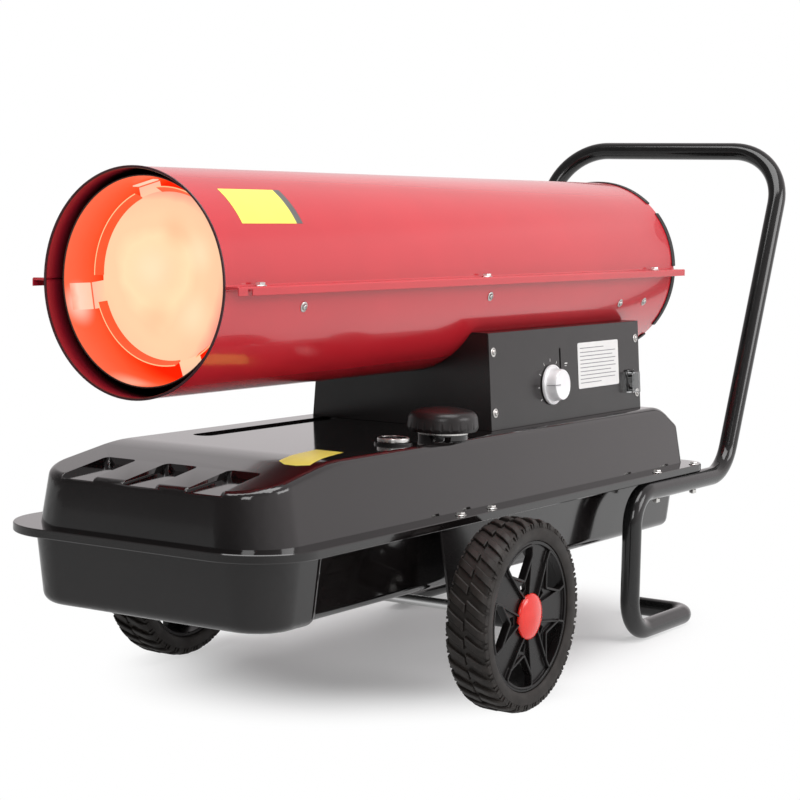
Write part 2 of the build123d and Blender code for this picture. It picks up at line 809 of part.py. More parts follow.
def switch_body():
    frame = on_panel(switch_along, switch_up, 0.75) * Box(switch_width, switch_height, 1.5)
    well = on_panel(switch_along, switch_up, -switch_depth / 2) * Box(switch_width - 2, switch_height - 2, switch_depth)
    hollow = on_panel(switch_along, switch_up, -4) * Box(switch_width - 5, switch_height - 5, 14)
    tongue = on_panel(switch_along, switch_up + switch_height / 2 + hinge_up / 2, 0.75) * Box(hinge_width, hinge_up, 1.5)
    knuckle = hinge_bar(hinge_radius, -hinge_width / 2, hinge_width / 2)
    pin = hinge_bar(hinge_pin_radius, -hinge_width / 2 - 2, hinge_width / 2 + 2)
    socket = rocker_bar(rocker_pin_radius + running_gap, rocker_pin_reach + running_gap)
    return [frame + well - hollow - socket + tongue + knuckle + pin]


def hinge_bar(radius, start, end):
    """Round bar along the switch cover's hinge line."""
    x, y, z = panel_point(switch_along, switch_up + switch_height / 2 + hinge_up, hinge_out)
    return rod_x(x + start, x + end, y, z, radius)


def rocker_width():
    return switch_width - 5 - 2 * touch_gap


def rocker_bar(radius, reach):
    """Round bar along the rocker's pivot, standing out of both its sides."""
    x, y, z = panel_point(switch_along, switch_up, rocker_pivot_out)
    half = rocker_width() / 2 + touch_gap + reach
    return rod_x(x - half, x + half, y, z, radius)


def switch_rocker():
    width = rocker_width()
    half = switch_height / 2 - 4.5
    rise = half * tan(radians(rocker_throw + 2))
    face = on_panel(switch_along, switch_up)
    profile = make_face(Polyline([(-half, 1.4 + rise), (0, 1.4), (half, 1.4 + half * tan(radians(2))), (half - 1, -1),
                                  (2, -4), (-2, -4), (1 - half, -1)], close=True))
    side = Plane(face.origin - face.x_dir * width / 2, x_dir=face.y_dir, z_dir=face.x_dir)
    return [extrude(side * profile, width) + rocker_bar(rocker_pin_radius, rocker_pin_reach)]


def switch_cover():
    """Clear box over the rocker, hinged on the tongue above the switch."""
    plane = on_panel(switch_along, switch_up)
    w, h, d = switch_width + 3, switch_height + 3, cover_depth
    box = plane * Pos(0, 0, d / 2 + touch_gap) * Box(w, h, d)
    box -= plane * Pos(0, 0, d / 2 + touch_gap - cover_wall) * Box(w - 2 * cover_wall, h - 2 * cover_wall, d)
    reach = hinge_up - (h - switch_height) / 2
    for side in (-1, 1):
        inner, outer = side * (hinge_width / 2 + touch_gap), side * w / 2
        ear = plane * Pos((inner + outer) / 2, h / 2 + reach / 2 - 0.3, hinge_out) * Box(abs(outer - inner), reach + 0.6,
                                                                                     2 * hinge_radius)
        box += ear + hinge_bar(hinge_radius, min(inner, outer), max(inner, outer))
    box -= plane * Pos(0, h / 2, 0.75) * Box(hinge_width + 2 * touch_gap, 2 * cover_wall + 0.4, 1.5 + 2 * touch_gap)
    bore = hinge_pin_radius + running_gap
    return [box - hinge_bar(bore, -hinge_width / 2 - 2.5, hinge_width / 2 + 2.5)]


def ignition_transformer():
    x = housing_x0 + 70
    return [Pos(x, 45, housing_z0 + sheet + 24) * Box(72, 58, 48)]


def cord_gland():
    y, z = 60, housing_z0 + 30
    x = housing_x1
    gland = rod_x(x - sheet - 8, x + 3, y, z, 8)
    gland += Pos(x, y, z) * Rot(0, 90, 0) * extrude(RegularPolygon(12, 6), 5)
    gland += rod_x(x + 5, x + 16, y, z, 9)
    gland -= rod_x(x - sheet - 9, x + 17, y, z, 4.5)
    return [gland]


def piped(points, bend):
    path = FilletPolyline(*points, radius=bend)
    return sweep(Plane(path @ 0, z_dir=path % 0) * Circle(line_radius), path)


def service_x():
    return burner_rear_x - service_hole_length / 2


def fuel_line():
    """Draws from low in the tank, through the housing and the service hole, to the nozzle."""
    x, end_x = service_x(), burner_rear_x + line_place
    return [piped([(x, 0, tub_bottom_z + 12), (x, 0, barrel_axis_z - fuel_line_entry_drop),
                   (x + fuel_line_slope_run, 0, barrel_axis_z - fuel_line_slope_drop),
                   (end_x, 0, barrel_axis_z - fuel_line_end_drop),
                   (end_x, 0, barrel_axis_z - nozzle_body_radius)], line_bend)]


def air_line():
    """Runs from the pump cover along the barrel floor, under the fan's tips, to the nozzle's side."""
    y = air_line_offset
    low_z = barrel_axis_z - sqrt(((fan_radius + barrel_radius - sheet) / 2) ** 2 - y ** 2)
    x = cover_x + pump_cover_length / 4
    top_z = barrel_axis_z - sqrt(pump_radius ** 2 - (y - line_radius) ** 2)
    end_x = burner_rear_x + line_place
    return [piped([(x, y, top_z), (x, y, low_z), (burner_rear_x - 4, y, low_z),
                   (end_x, air_line_end_offset, barrel_axis_z - air_line_end_drop),
                   (end_x, air_line_end_offset, barrel_axis_z),
                   (end_x, nozzle_body_radius, barrel_axis_z)], line_bend)]


# ---- tank -----------------------------------------------------------------------------------------
def rounded_outline(front_x, rear_x, half, front_radius, rear_radius):
    sketch = Pos((front_x + rear_x) / 2, 0) * Rectangle(rear_x - front_x, 2 * half)
    sketch = fillet(sketch.vertices().group_by(Axis.X)[0], front_radius)
    return fillet(sketch.vertices().group_by(Axis.X)[-1], rear_radius)


def flange_outline(inset=0.0):
    return rounded_outline(tank_front_x + inset, tank_rear_x - inset, flange_half - inset,
                           flange_front_radius - inset, flange_rear_radius - inset)


def upper_profile(inset):
    """Side profile of the upper pressing: nose slope, flat top and rear slope, open below."""
    rise = nose_edge_drop / (nose_slope_start - nose_edge_x)
    fall = rear_slope_drop / (rear_slope_start - rear_slope_x)
    front, rear = tank_front_x, tank_rear_x
    top = tank_top_z
    margin = 60.0
    outline = [(front + nose_edge_x - margin, flange_top_z - margin),
               (front + nose_edge_x - margin, top - nose_edge_drop - margin * rise),
               (front + nose_slope_start, top),
               (rear - rear_slope_start, top),
               (rear - rear_slope_x + margin, top - rear_slope_drop - margin * fall),
               (rear - rear_slope_x + margin, flange_top_z - margin)]
    bends = [2.0, 2.0, nose_bend_radius, rear_bend_radius, 2.0, 2.0]
    face = make_face(FilletPolyline(*outline, radius=bends, close=True))
    if inset:
        face = offset(face, -inset, kind=Kind.INTERSECTION)
    return face


def upper_outline(inset, rise):
    """Plan of the upper pressing's wall at a height above the flange."""
    end_shrink = rise * tan(radians(upper_end_draft)) + inset
    side_shrink = rise * tan(radians(upper_side_draft)) + inset
    front = tank_front_x + upper_front_overhang + end_shrink
    rear = tank_rear_x - upper_rear_overhang - end_shrink
    return rounded_outline(front, rear, upper_half - side_shrink, upper_front_radius - end_shrink,
                           upper_rear_radius - end_shrink)


def upper_form(inset):
    """The closed outer form of the upper pressing, drawn in by the inset."""
    height = upper_height + 5
    block = loft([Plane.XY.offset(flange_top_z) * upper_outline(inset, 0),
                  Plane.XY.offset(flange_top_z + height) * upper_outline(inset, height)], ruled=True)
    side = Plane((0, flange_half, 0), x_dir=(1, 0, 0), z_dir=(0, -1, 0)) * upper_profile(inset)
    form = block & extrude(side, 2 * flange_half)
    top_edges = form.edges().filter_by(lambda edge: edge.center().Z > flange_top_z + upper_height * 0.5)
    return form, top_edges


def window_form(grow):
    """Recesses pressed into the nose slope, open to the nose face."""
    length = window_end - nose_edge_x
    slope = atan2(window_front_drop - window_rear_drop, length)
    cuts = []
    for index in range(window_count):
        y = (index - (window_count - 1) / 2) * window_pitch
        corner = (tank_front_x + window_end, y, tank_top_z - window_rear_drop)
        floor = Plane(corner, x_dir=(cos(slope), 0, sin(slope)), z_dir=(-sin(slope), 0, cos(slope)))
        plan = Pos(grow / 2 - length / 2 - 15, 0) * Rectangle(length + 30 + grow, window_width + 2 * grow)
        plan = fillet(plan.vertices().group_by(Axis.X)[-1], window_radius + grow)
        cuts.append(extrude(floor.offset(-grow) * plan, 40))
    return cuts


def groove_form(grow):
    """Long shallow groove along the far side of the top, running back under the housing."""
    middle = tank_front_x + groove_start + groove_length / 2
    plan = Pos(middle, groove_y) * SlotOverall(groove_length + 2 * grow, groove_width + 2 * grow)
    return extrude(Plane.XY.offset(tank_top_z - groove_depth - grow) * plan, 20)


def boss_form(x, y, radius, height, inset):
    """Round pad on the top whose flank narrows downwards and runs into the side wall."""
    flank = Pos(x, y, tank_top_z - boss_flank / 2) * Cone(radius - boss_flank_run - inset, radius - inset, boss_flank)
    return flank + rod_z(x, y, tank_top_z - 0.5, tank_top_z + height - inset, radius - inset)


def filler_boss(inset):
    return boss_form(filler_x, filler_y, filler_boss_radius, filler_boss_height, inset)


def gauge_pad(inset):
    return boss_form(gauge_x, gauge_y, gauge_pad_radius, gauge_pad_height, inset)


def tank_upper():
    t = tank_sheet
    outer, outer_edges = upper_form(0.0)
    outer = fillet(outer_edges, upper_edge_radius)
    inner, inner_edges = upper_form(t)
    inner = fillet(inner_edges, upper_edge_radius - t)
    for cut in window_form(0.0):
        outer -= cut
    for cut in window_form(t):
        inner -= cut
    outer -= groove_form(0.0)
    inner -= groove_form(t)
    outer += filler_boss(0.0)
    outer += gauge_pad(0.0)
    inner += filler_boss(t)
    inner += gauge_pad(t)
    skirt = extrude(Plane.XY.offset(hem_low_z) * flange_outline(), flange_hem)
    rims = skirt.edges().group_by(Axis.Z)
    skirt = chamfer(rims[0] + rims[-1], flange_bead / 3)
    skirt -= extrude(Plane.XY.offset(hem_low_z) * flange_outline(flange_bead), flange_hem - t)
    body = outer + skirt
    body -= inner
    body -= extrude(Plane.XY.offset(flange_top_z - t) * upper_outline(t, 0), t)
    body -= rod_z(filler_x, filler_y, tank_top_z - 5, tank_top_z + 30, neck_radius)
    body -= rod_z(gauge_x, gauge_y, tank_top_z - 5, tank_top_z + 30, gauge_stem_radius)
    for x, y in flange_bolt_points():
        body -= rod_z(x, y, hem_low_z, flange_top_z + 1, bolt_radius)
    body -= rod_z(service_x(), 0, tank_top_z - 5, tank_top_z + 1, line_radius)
    return [body]


def tub_outline(inset):
    """Plan of the tub: full width at the nose, waisted behind it to clear the wheels."""
    front = tank_front_x + tub_front_overhang + inset
    rear = tank_rear_x - tub_rear_overhang - inset
    wide, narrow = tub_half - inset, tub_waist_half - inset
    step_x = tank_front_x + tub_waist_start - inset * (sqrt(2) - 1)
    end_x = step_x + tub_half - tub_waist_half
    near = [(front, -wide), (step_x, -wide), (end_x, -narrow), (rear, -narrow)]
    far = [(x, -y) for x, y in reversed(near)]
    bends = [tub_front_radius - inset, tub_waist_radius - inset, tub_waist_root_radius + inset,
             tub_rear_radius - inset]
    return make_face(FilletPolyline(*near, *far, radius=bends + bends[::-1], close=True))


def tub_form(inset):
    depth = flange_top_z - tank_sheet - tub_bottom_z - inset
    form = extrude(Plane.XY.offset(flange_top_z - tank_sheet) * tub_outline(inset), -depth, taper=tub_draft)
    bottom = form.edges().group_by(Axis.Z)[0]
    return fillet(bottom, tub_bottom_radius - inset)


def tank_lower():
    t = tank_sheet
    body = tub_form(0.0)
    plate = extrude(Plane.XY.offset(flange_low_z) * flange_outline(flange_bead + touch_gap), t)
    body += plate
    body -= tub_form(t)
    for x, y in flange_bolt_points():
        body -= rod_z(x, y, hem_low_z, flange_top_z + 1, bolt_radius)
    body -= rod_z(drain_x(), 0, tub_bottom_z - 1, tub_bottom_z + 2 * t, 7)
    return [body]


def drain_x():
    return tank_rear_x - tub_rear_overhang - 60


def drain_plug():
    z = tub_bottom_z
    return [rod_z(drain_x(), 0, z - 1.5, z + 8, 7) + rod_z(drain_x(), 0, z - 1.5, z, 12)
            + hexagon_z(drain_x(), 0, z - 8, 6.5, 9)]


# ---- filler and gauge -----------------------------------------------------------------------------
def neck_top_z():
    return tank_top_z + filler_boss_height + neck_height


def filler_neck():
    z0 = tank_top_z + filler_boss_height - tank_sheet - 6
    tube = rod_z(filler_x, filler_y, z0, neck_top_z(), neck_radius)
    collar_z = tank_top_z + filler_boss_height
    collar = rod_z(filler_x, filler_y, collar_z, collar_z + 2, neck_radius + 3)
    return [tube + collar - rod_z(filler_x, filler_y, z0 - 1, neck_top_z() + 1, neck_radius - neck_wall)]


def filler_strainer():
    top = neck_top_z() - 3
    outer = neck_radius - neck_wall
    rim = rod_z(filler_x, filler_y, top - 1.5, top, outer)
    basket = rod_z(filler_x, filler_y, top - strainer_depth, top, strainer_radius)
    hollow = rod_z(filler_x, filler_y, top - strainer_depth + strainer_wall, top + 1, strainer_radius - strainer_wall)
    return [rim + basket - hollow]


def cap_gasket():
    z = neck_top_z()
    return [rod_z(filler_x, filler_y, z, z + gasket_thickness, neck_radius)
            - rod_z(filler_x, filler_y, z - 1, z + gasket_thickness + 1, neck_radius - 5)]


def filler_cap():
    z0 = tank_top_z + filler_boss_height + 2 + 1.0
    z1 = neck_top_z() + gasket_thickness
    top = z0 + cap_height
    inner = neck_radius + cap_thread_gap
    flat = 4.0
    dome = ThreePointArc((cap_dome_reach, top - cap_dome_drop), (cap_dome_reach * 0.57, top - cap_dome_drop * 0.26),
                         (flat, top))
    edge_z = top - cap_shoulder
    shoulder = ThreePointArc((cap_radius - 1, edge_z), (cap_radius - 4, edge_z + cap_shoulder * 0.52),
                             (cap_dome_reach, top - cap_dome_drop))
    sides = Polyline([(flat, top), (0, top), (0, z1), (inner, z1), (inner, z0), (cap_radius - 2, z0),
                      (cap_radius, z0 + 4), (cap_radius - 1, edge_z)])
    cap = revolve(Plane.XZ * make_face(dome + shoulder + sides), Axis.Z)
    for index in range(cap_grips):
        angle = 2 * pi * index / cap_grips
        reach = cap_radius + cap_grip_radius * 0.75
        groove = Pos(reach * cos(angle), reach * sin(angle), z0 + cap_height / 2)
        cap -= groove * Cylinder(cap_grip_radius, 2 * cap_height)
    return [Pos(filler_x, filler_y, 0) * cap]


def gauge_base_z():
    return tank_top_z + gauge_pad_height


def gauge_body():
    """Dial case with the stem that carries the float arm inside the tank."""
    z = gauge_base_z()
    stem_low = z - gauge_stem_length
    body = rod_z(gauge_x, gauge_y, z, z + gauge_height, gauge_radius)
    body -= rod_z(gauge_x, gauge_y, z + 1, z + gauge_height + 1, gauge_radius - 1.5)
    body += rod_z(gauge_x, gauge_y, stem_low, z, gauge_stem_radius)
    body -= Pos(gauge_x, gauge_y, stem_low + 8) * Box(4 * gauge_stem_radius, 5, 17)
    return [body - rod_y(gauge_x, gauge_y - 20, gauge_y + 20, float_pivot_z(), float_arm_radius + running_gap)]


def float_pivot_z():
    return gauge_base_z() - gauge_stem_length + 6.0


def gauge_lens():
    z = gauge_base_z() + gauge_height
    return [rod_z(gauge_x, gauge_y, z - 1.3, z, gauge_radius - 1.5)]


def gauge_needle():
    z = gauge_base_z() + 1.2
    hub = rod_z(gauge_x, gauge_y, z, z + 1.2, 2)
    blade = Pos(gauge_x - 4.5, gauge_y, z + 0.6) * Box(13, 1.4, 0.7)
    return [(hub + blade).rotate(Axis((gauge_x, gauge_y, 0), (0, 0, 1)), 40)]


def float_axis():
    return Axis((gauge_x, 0, float_pivot_z()), (0, 1, 0))


def float_arm():
    """Arm from the stem forward and down to the float, drawn at its empty-tank rest."""
    z = float_pivot_z()
    pivot = rod_y(gauge_x, gauge_y - 6, gauge_y + 6, z, float_arm_radius)
    eye = rod_y(gauge_x, gauge_y - 1.9, gauge_y + 1.9, z, 4)
    arm = rod_x(gauge_x - float_arm_length - float_radius - 1, gauge_x, gauge_y, z, float_arm_radius)
    return [(pivot + eye + arm).rotate(float_axis(), -float_rest_angle)]


def float_ball():
    x, z = gauge_x - float_arm_length, float_pivot_z()
    ball = rod_y(x, gauge_y - float_length / 2, gauge_y + float_length / 2, z, float_radius)
    ball -= rod_x(x - 2 * float_radius, x + 2 * float_radius, gauge_y, z, float_arm_radius)
    return [ball.rotate(float_axis(), -float_rest_angle)]


# ---- running gear ---------------------------------------------------------------------------------
def wheel_frame(side):
    """Places a wheel drawn with its outer face at z = 0 and its inner face at negative z."""
    return Pos(axle_x, side * overall_width / 2, axle_z) * Rot(-side * 90, 0, 0)


def spun(points):
    """Turn a profile of (radius, z) points about Z."""
    return revolve(Plane.XZ * make_face(Polyline(points, close=True)), Axis.Z)


def tyre(side):
    s = tyre_shoulder
    r, w, inner = wheel_radius, tyre_width, tyre_inner_radius
    body = spun([(inner, -3), (inner + 4, -0.8), (r - 2 * s, 0), (r - s * 0.4, -s * 0.4), (r, -1.6 * s),
                 (r, 1.6 * s - w), (r - s * 0.4, s * 0.4 - w), (r - 2 * s, -w), (inner + 4, 0.8 - w), (inner, 3 - w)])
    shoulder = Pos(r, 0, 0) * Box(2 * tread_lug_depth, tread_lug_width, 5 * s)
    for index in range(tread_lug_count):
        turn = 360 * index / tread_lug_count
        body -= Rot(0, 0, turn) * shoulder
        body -= Rot(0, 0, turn + 180 / tread_lug_count) * Pos(0, 0, -w) * shoulder
    return [wheel_frame(side) * body]


def rim(side):
    r = tyre_inner_radius
    w = tyre_width
    bore = axle_radius + running_gap
    face_z = -rim_face_inset
    ring = spun([(r, -rim_inset), (r, rim_inset - w), (r - rim_wall, rim_inset - w), (r - rim_wall, -rim_inset)])
    web_z = face_z - web_thickness
    web = spun([(bore, face_z), (r - rim_wall / 2, face_z), (r - rim_wall / 2, web_z), (bore, web_z)])
    hub = spun([(bore, face_z), (hub_radius, face_z), (hub_radius, -w - 2), (bore, -w - 2)])
    body = ring + web + hub
    reach = radians(window_half_angle)
    x, y = window_outer_radius * cos(reach), window_outer_radius * sin(reach)
    corners = [(window_inner_radius, 0), (x * 0.86, -y * 0.86), (2 * x, -2 * y), (2 * x, 2 * y), (x * 0.86, y * 0.86)]
    window = make_face(Polyline(corners, close=True)) & Circle(window_outer_radius)
    window = fillet(window.vertices(), 1.5)
    border = offset(window, spoke_rib) - window
    border = border & Circle(r - rim_wall / 2)
    small = Pos((hub_cap_radius + window_inner_radius) / 2 - 0.5, 0) * Rectangle(8, 9)
    for index in range(spoke_count):
        turn = Rot(0, 0, window_turn + 360 * index / spoke_count)
        body -= turn * Pos(0, 0, face_z - 2 * web_thickness) * extrude(window, 4 * web_thickness)
        body -= turn * Pos(0, 0, face_z - 2 * web_thickness) * extrude(small, 4 * web_thickness)
        body += turn * Pos(0, 0, face_z - web_thickness) * extrude(border, web_thickness + spoke_rib_height)
    return [wheel_frame(side) * body]


def hub_cap(side):
    """Domed cap pressed over the hub, standing a little out of the tyre's face."""
    base = -rim_face_inset
    edge = hub_cap_stand_out - hub_cap_rise
    dome = (hub_cap_radius ** 2 + hub_cap_rise ** 2) / (2 * hub_cap_rise)
    half = asin(hub_cap_radius / dome) / 2
    flat = 1.5
    arc = ThreePointArc((hub_cap_radius, edge), (dome * sin(half), hub_cap_stand_out - dome * (1 - cos(half))),
                        (flat, hub_cap_stand_out))
    sides = Polyline([(flat, hub_cap_stand_out), (0, hub_cap_stand_out), (0, base), (hub_cap_radius, base),
                      (hub_cap_radius, edge)])
    return [wheel_frame(side) * revolve(Plane.XZ * make_face(arc + sides), Axis.Z)]


def pin_points():
    reach = overall_width / 2 - tyre_width - 2 - touch_gap - washer_thickness - pin_radius
    return [(axle_x, -reach), (axle_x, reach)]


def axle():
    reach = overall_width / 2 - rim_face_inset - 0.5
    bar = rod_y(axle_x, -reach, reach, axle_z, axle_radius)
    for x, y in pin_points():
        bar -= rod_z(x, y, axle_z - 2 * axle_radius, axle_z + 2 * axle_radius, pin_radius)
    return [bar]


def wheel_washers():
    inner_y = overall_width / 2 - tyre_width - 2
    outer, inner = inner_y - touch_gap, inner_y - touch_gap - washer_thickness
    return [rod_y(axle_x, side * outer, side * inner, axle_z, washer_radius)
            - rod_y(axle_x, -overall_width, overall_width, axle_z, axle_radius) for side in (-1, 1)]


def cotter_pins():
    return [rod_z(x, y, axle_z - 2 * axle_radius, axle_z + 2 * axle_radius, pin_radius) for x, y in pin_points()]


def flange_bolt_points():
    wheel = [(axle_x + place, side * (flange_half - bolt_inset)) for place in bracket_bolt_places for side in (-1, 1)]
    tube = [(tank_front_x + place, side * handle_half) for place in handle_bolt_places for side in (-1, 1)]
    return wheel + tube


def wheel_bracket_solid(side):
    """Angle bracket: foot under the tank flange, plate down to the axle."""
    t = bracket_plate
    plate_y = tub_waist_half + bracket_stand_off
    x0, x1 = axle_x - bracket_front, axle_x + bracket_rear
    outline = Polyline([(x0, flange_low_z), (axle_x - bracket_foot_radius, axle_z), (axle_x + bracket_foot_radius, axle_z),
                        (x1, flange_low_z)], close=True)
    plate = make_face(outline) + Pos(axle_x, axle_z) * Circle(bracket_foot_radius)
    plane = Plane((0, side * plate_y, 0), x_dir=(1, 0, 0), z_dir=(0, -1, 0))
    body = extrude(plane * plate, -side * t)
    foot_out = flange_half - tank_sheet - touch_gap - 1
    foot = Pos((x0 + x1) / 2, side * (plate_y + foot_out) / 2, flange_low_z - t / 2) * Box(x1 - x0, foot_out - plate_y, t)
    return body + foot


def wheel_brackets():
    brackets = []
    for side in (-1, 1):
        body = wheel_bracket_solid(side)
        body -= rod_y(axle_x, -overall_width / 2, overall_width / 2, axle_z, axle_radius)
        for x, y in flange_bolt_points()[:4]:
            body -= rod_z(x, y, flange_low_z - 10, flange_low_z + 1, bolt_radius)
        brackets.append(body)
    return brackets


def flange_bolts():
    bolts = []
    for index, (x, y) in enumerate(flange_bolt_points()):
        low = flange_low_z - bracket_plate - nut_height - 1 if index < 4 else tube_run_z - tube_radius - nut_height - 1
        bolts.append(rod_z(x, y, low, flange_top_z, bolt_radius)
                     + hexagon_z(x, y, flange_top_z, bolt_head_height, bolt_head_radius))
    return bolts


def hex_nuts():
    """The same nut on every bolt of the lips, the wheel brackets and the handle."""
    tops = [(x, y, barrel_axis_z - sheet) for x, y in lip_bolt_points()]
    for index, (x, y) in enumerate(flange_bolt_points()):
        tops.append((x, y, flange_low_z - bracket_plate if index < 4 else tube_run_z - tube_radius))
    return [hexagon_z(x, y, top - nut_height, nut_height, nut_radius) - rod_z(x, y, top - 10, top, bolt_radius)
            for x, y, top in tops]


# ---- handle and legs ------------------------------------------------------------------------------
def handle_points():
    """Centreline of the near half, from the hooked foot up to the middle of the top bar."""
    y = -handle_half
    leg_x = tank_front_x + leg_setback
    foot_x = leg_x + foot_length
    bar_x = overall_length / 2 - tube_radius
    run_x = bar_x - handle_rake * (handle_bar_z - tube_run_z)
    z = tube_radius
    return [(foot_x, y + foot_hook, z), (foot_x, y, z), (leg_x, y, z), (leg_x, y, tube_run_z), (run_x, y, tube_run_z),
            (bar_x, y, handle_bar_z)]


def handle_frame():
    near = handle_points()
    far = [(x, -y, z) for x, y, z in reversed(near)]
    bends = [foot_hook_radius, leg_foot_radius, leg_top_radius, handle_low_radius, handle_top_radius]
    path = FilletPolyline(*near, *far, radius=bends + bends[::-1])
    start = Plane(path @ 0, z_dir=path % 0)
    tube = sweep(start * Circle(tube_radius), path) - sweep(start * Circle(tube_radius - tube_wall), path)
    for x, y in flange_bolt_points()[4:]:
        tube -= rod_z(x, y, tube_run_z - 2 * tube_radius, tube_run_z + 2 * tube_radius, bolt_radius)
    return [tube]


def foot_plugs():
    x, y, z = handle_points()[0]
    plugs = []
    for side in (-1, 1):
        end = side * -y
        inner = rod_y(x, end, end + side * 14, z, tube_radius - tube_wall)
        head = rod_y(x, end, end - side * 2.5, z, tube_radius)
        plugs.append(inner + head)
    return plugs


pieces = {
    "barrel_lower_shell": barrel_lower_shell, "barrel_upper_shell": barrel_upper_shell,
    "lip_screws": lip_screws, "sheet_screws": sheet_screws, "hex_nuts": hex_nuts,
    "combustion_chamber": combustion_chamber, "chamber_supports": chamber_supports, "flame_baffle": flame_baffle,
    "burner_head": burner_head, "fuel_nozzle": fuel_nozzle, "igniter_electrodes": igniter_electrodes,
    "photocell": photocell, "fan": fan, "motor_shaft": motor_shaft, "motor_housing": motor_housing,
    "motor_bracket": motor_bracket, "pump_body": pump_body, "pump_rotor": pump_rotor, "pump_vanes": pump_vanes,
    "pump_cover": pump_cover, "rear_guard": rear_guard,
    "guard_clips": guard_clips, "rim_trim": rim_trim, "housing_frame": housing_frame,
    "control_panel": control_panel, "side_cover": side_cover,
    "thermostat_body": thermostat_body, "thermostat_knob": thermostat_knob, "switch_body": switch_body,
    "switch_rocker": switch_rocker, "switch_cover": switch_cover, "ignition_transformer": ignition_transformer,
    "cord_gland": cord_gland, "fuel_line": fuel_line, "air_line": air_line,
    "tank_upper": tank_upper, "tank_lower": tank_lower, "drain_plug": drain_plug, "filler_neck": filler_neck,
    "filler_strainer": filler_strainer, "cap_gasket": cap_gasket, "filler_cap": filler_cap,
    "gauge_body": gauge_body, "gauge_lens": gauge_lens, "gauge_needle": gauge_needle, "float_arm": float_arm,
    "float_ball": float_ball, "wheel_brackets": wheel_brackets, "axle": axle, "wheel_washers": wheel_washers,
    "cotter_pins": cotter_pins, "flange_bolts": flange_bolts,
    "handle_frame": handle_frame, "foot_plugs": foot_plugs,
}

for name, make in pieces.items():
    export_step(Compound(children=[Compound(solid.solids()) for solid in make()]), f"parts/{name}.step")

for place, side in (("near", -1), ("far", 1)):
    for name, make in (("tyre", tyre), ("rim", rim), ("hub_cap", hub_cap)):
        export_step(Compound(children=make(side)), f"parts/{name}_{place}.step")
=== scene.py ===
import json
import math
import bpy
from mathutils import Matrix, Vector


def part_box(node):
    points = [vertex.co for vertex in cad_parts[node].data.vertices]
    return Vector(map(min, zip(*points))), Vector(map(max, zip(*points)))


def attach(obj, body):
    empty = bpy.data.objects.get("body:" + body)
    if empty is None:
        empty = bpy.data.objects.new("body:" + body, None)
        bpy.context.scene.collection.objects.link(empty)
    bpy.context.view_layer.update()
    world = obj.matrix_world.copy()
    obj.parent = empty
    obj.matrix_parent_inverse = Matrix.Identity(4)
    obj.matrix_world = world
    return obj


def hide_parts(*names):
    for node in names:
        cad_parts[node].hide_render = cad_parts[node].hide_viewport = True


bl_info = {
    "name": "Forced Air Heater",
    "version": (1, 0, 0),
    "blender": (4, 5, 0),
    "location": "3D View > Sidebar > Heater",
    "description": "Dresses a wheeled oil-fired air heater on its packed frame",
    "category": "Object",
}

import bmesh
import bpy
from bpy.props import FloatProperty, FloatVectorProperty, IntProperty, PointerProperty
from bpy.types import Operator, Panel, PropertyGroup
from mathutils import Matrix, Vector
from mathutils.bvhtree import BVHTree

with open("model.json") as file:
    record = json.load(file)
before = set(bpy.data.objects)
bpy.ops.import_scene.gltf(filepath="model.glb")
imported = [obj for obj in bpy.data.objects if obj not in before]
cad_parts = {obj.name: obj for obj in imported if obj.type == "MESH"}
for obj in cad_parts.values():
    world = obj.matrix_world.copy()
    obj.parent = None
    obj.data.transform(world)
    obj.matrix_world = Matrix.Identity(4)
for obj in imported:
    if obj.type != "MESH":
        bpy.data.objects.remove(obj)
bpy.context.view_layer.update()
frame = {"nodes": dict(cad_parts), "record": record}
slots = {row["node"]: row["material_slot"] for row in frame["record"]["subparts"]}
bodies = frame["record"]["behaviour"]["bodies"]
body_of_node = {node: body for body, nodes in bodies.items() for node in nodes}

X, Y, Z = Vector((1, 0, 0)), Vector((0, 1, 0)), Vector((0, 0, 1))
sheet = 0.0012
barrel_low, barrel_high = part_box("barrel_lower_shell")
barrel_front, barrel_rear = barrel_low.x, barrel_high.x
barrel_radius = 0.109
barrel_axis = Vector((0, 0, barrel_high.z))
housing_low, housing_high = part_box("control_panel")


def middle(node):
    """Middle of a CAD node's box."""
    low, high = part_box(node)
    return (low + high) / 2


# ---- settings -------------------------------------------------------------------------------------
def colour(name, description, value):
    """A colour that a user can set."""
    return FloatVectorProperty(name=name, description=description, subtype="COLOR", default=value,
                               min=0, max=1)


def length(name, description, value):
    """A length that a user can set, in metres."""
    return FloatProperty(name=name, description=description, unit="LENGTH", default=value, min=0)


class HeaterPaint(PropertyGroup):
    barrel_red: colour("Barrel red", "Gloss paint of the barrel", (0.51, 0.017, 0.027))
    tank_black: colour("Tank black", "Gloss paint of the fuel tank", (0.006, 0.005, 0.005))
    housing_black: colour("Housing black", "Satin paint of the housing", (0.012, 0.010, 0.010))
    tube_black: colour("Tube black", "Gloss paint of the handle and legs", (0.008, 0.008, 0.008))
    sticker_yellow: colour("Sticker yellow", "Plain stickers on barrel and tank", (0.88, 0.78, 0.12))
    cap_red: colour("Cap red", "Domed wheel caps", (0.70, 0.018, 0.009))
    knob_silver: colour("Knob silver", "Thermostat knob", (0.80, 0.80, 0.81))
    baffle_glow: colour("Baffle glow", "Heat colour of the baffle's disc", (0.98, 0.76, 0.46))
    wall_glow: colour("Wall glow", "Heat colour of the chamber's wall", (1.0, 0.098, 0.030))


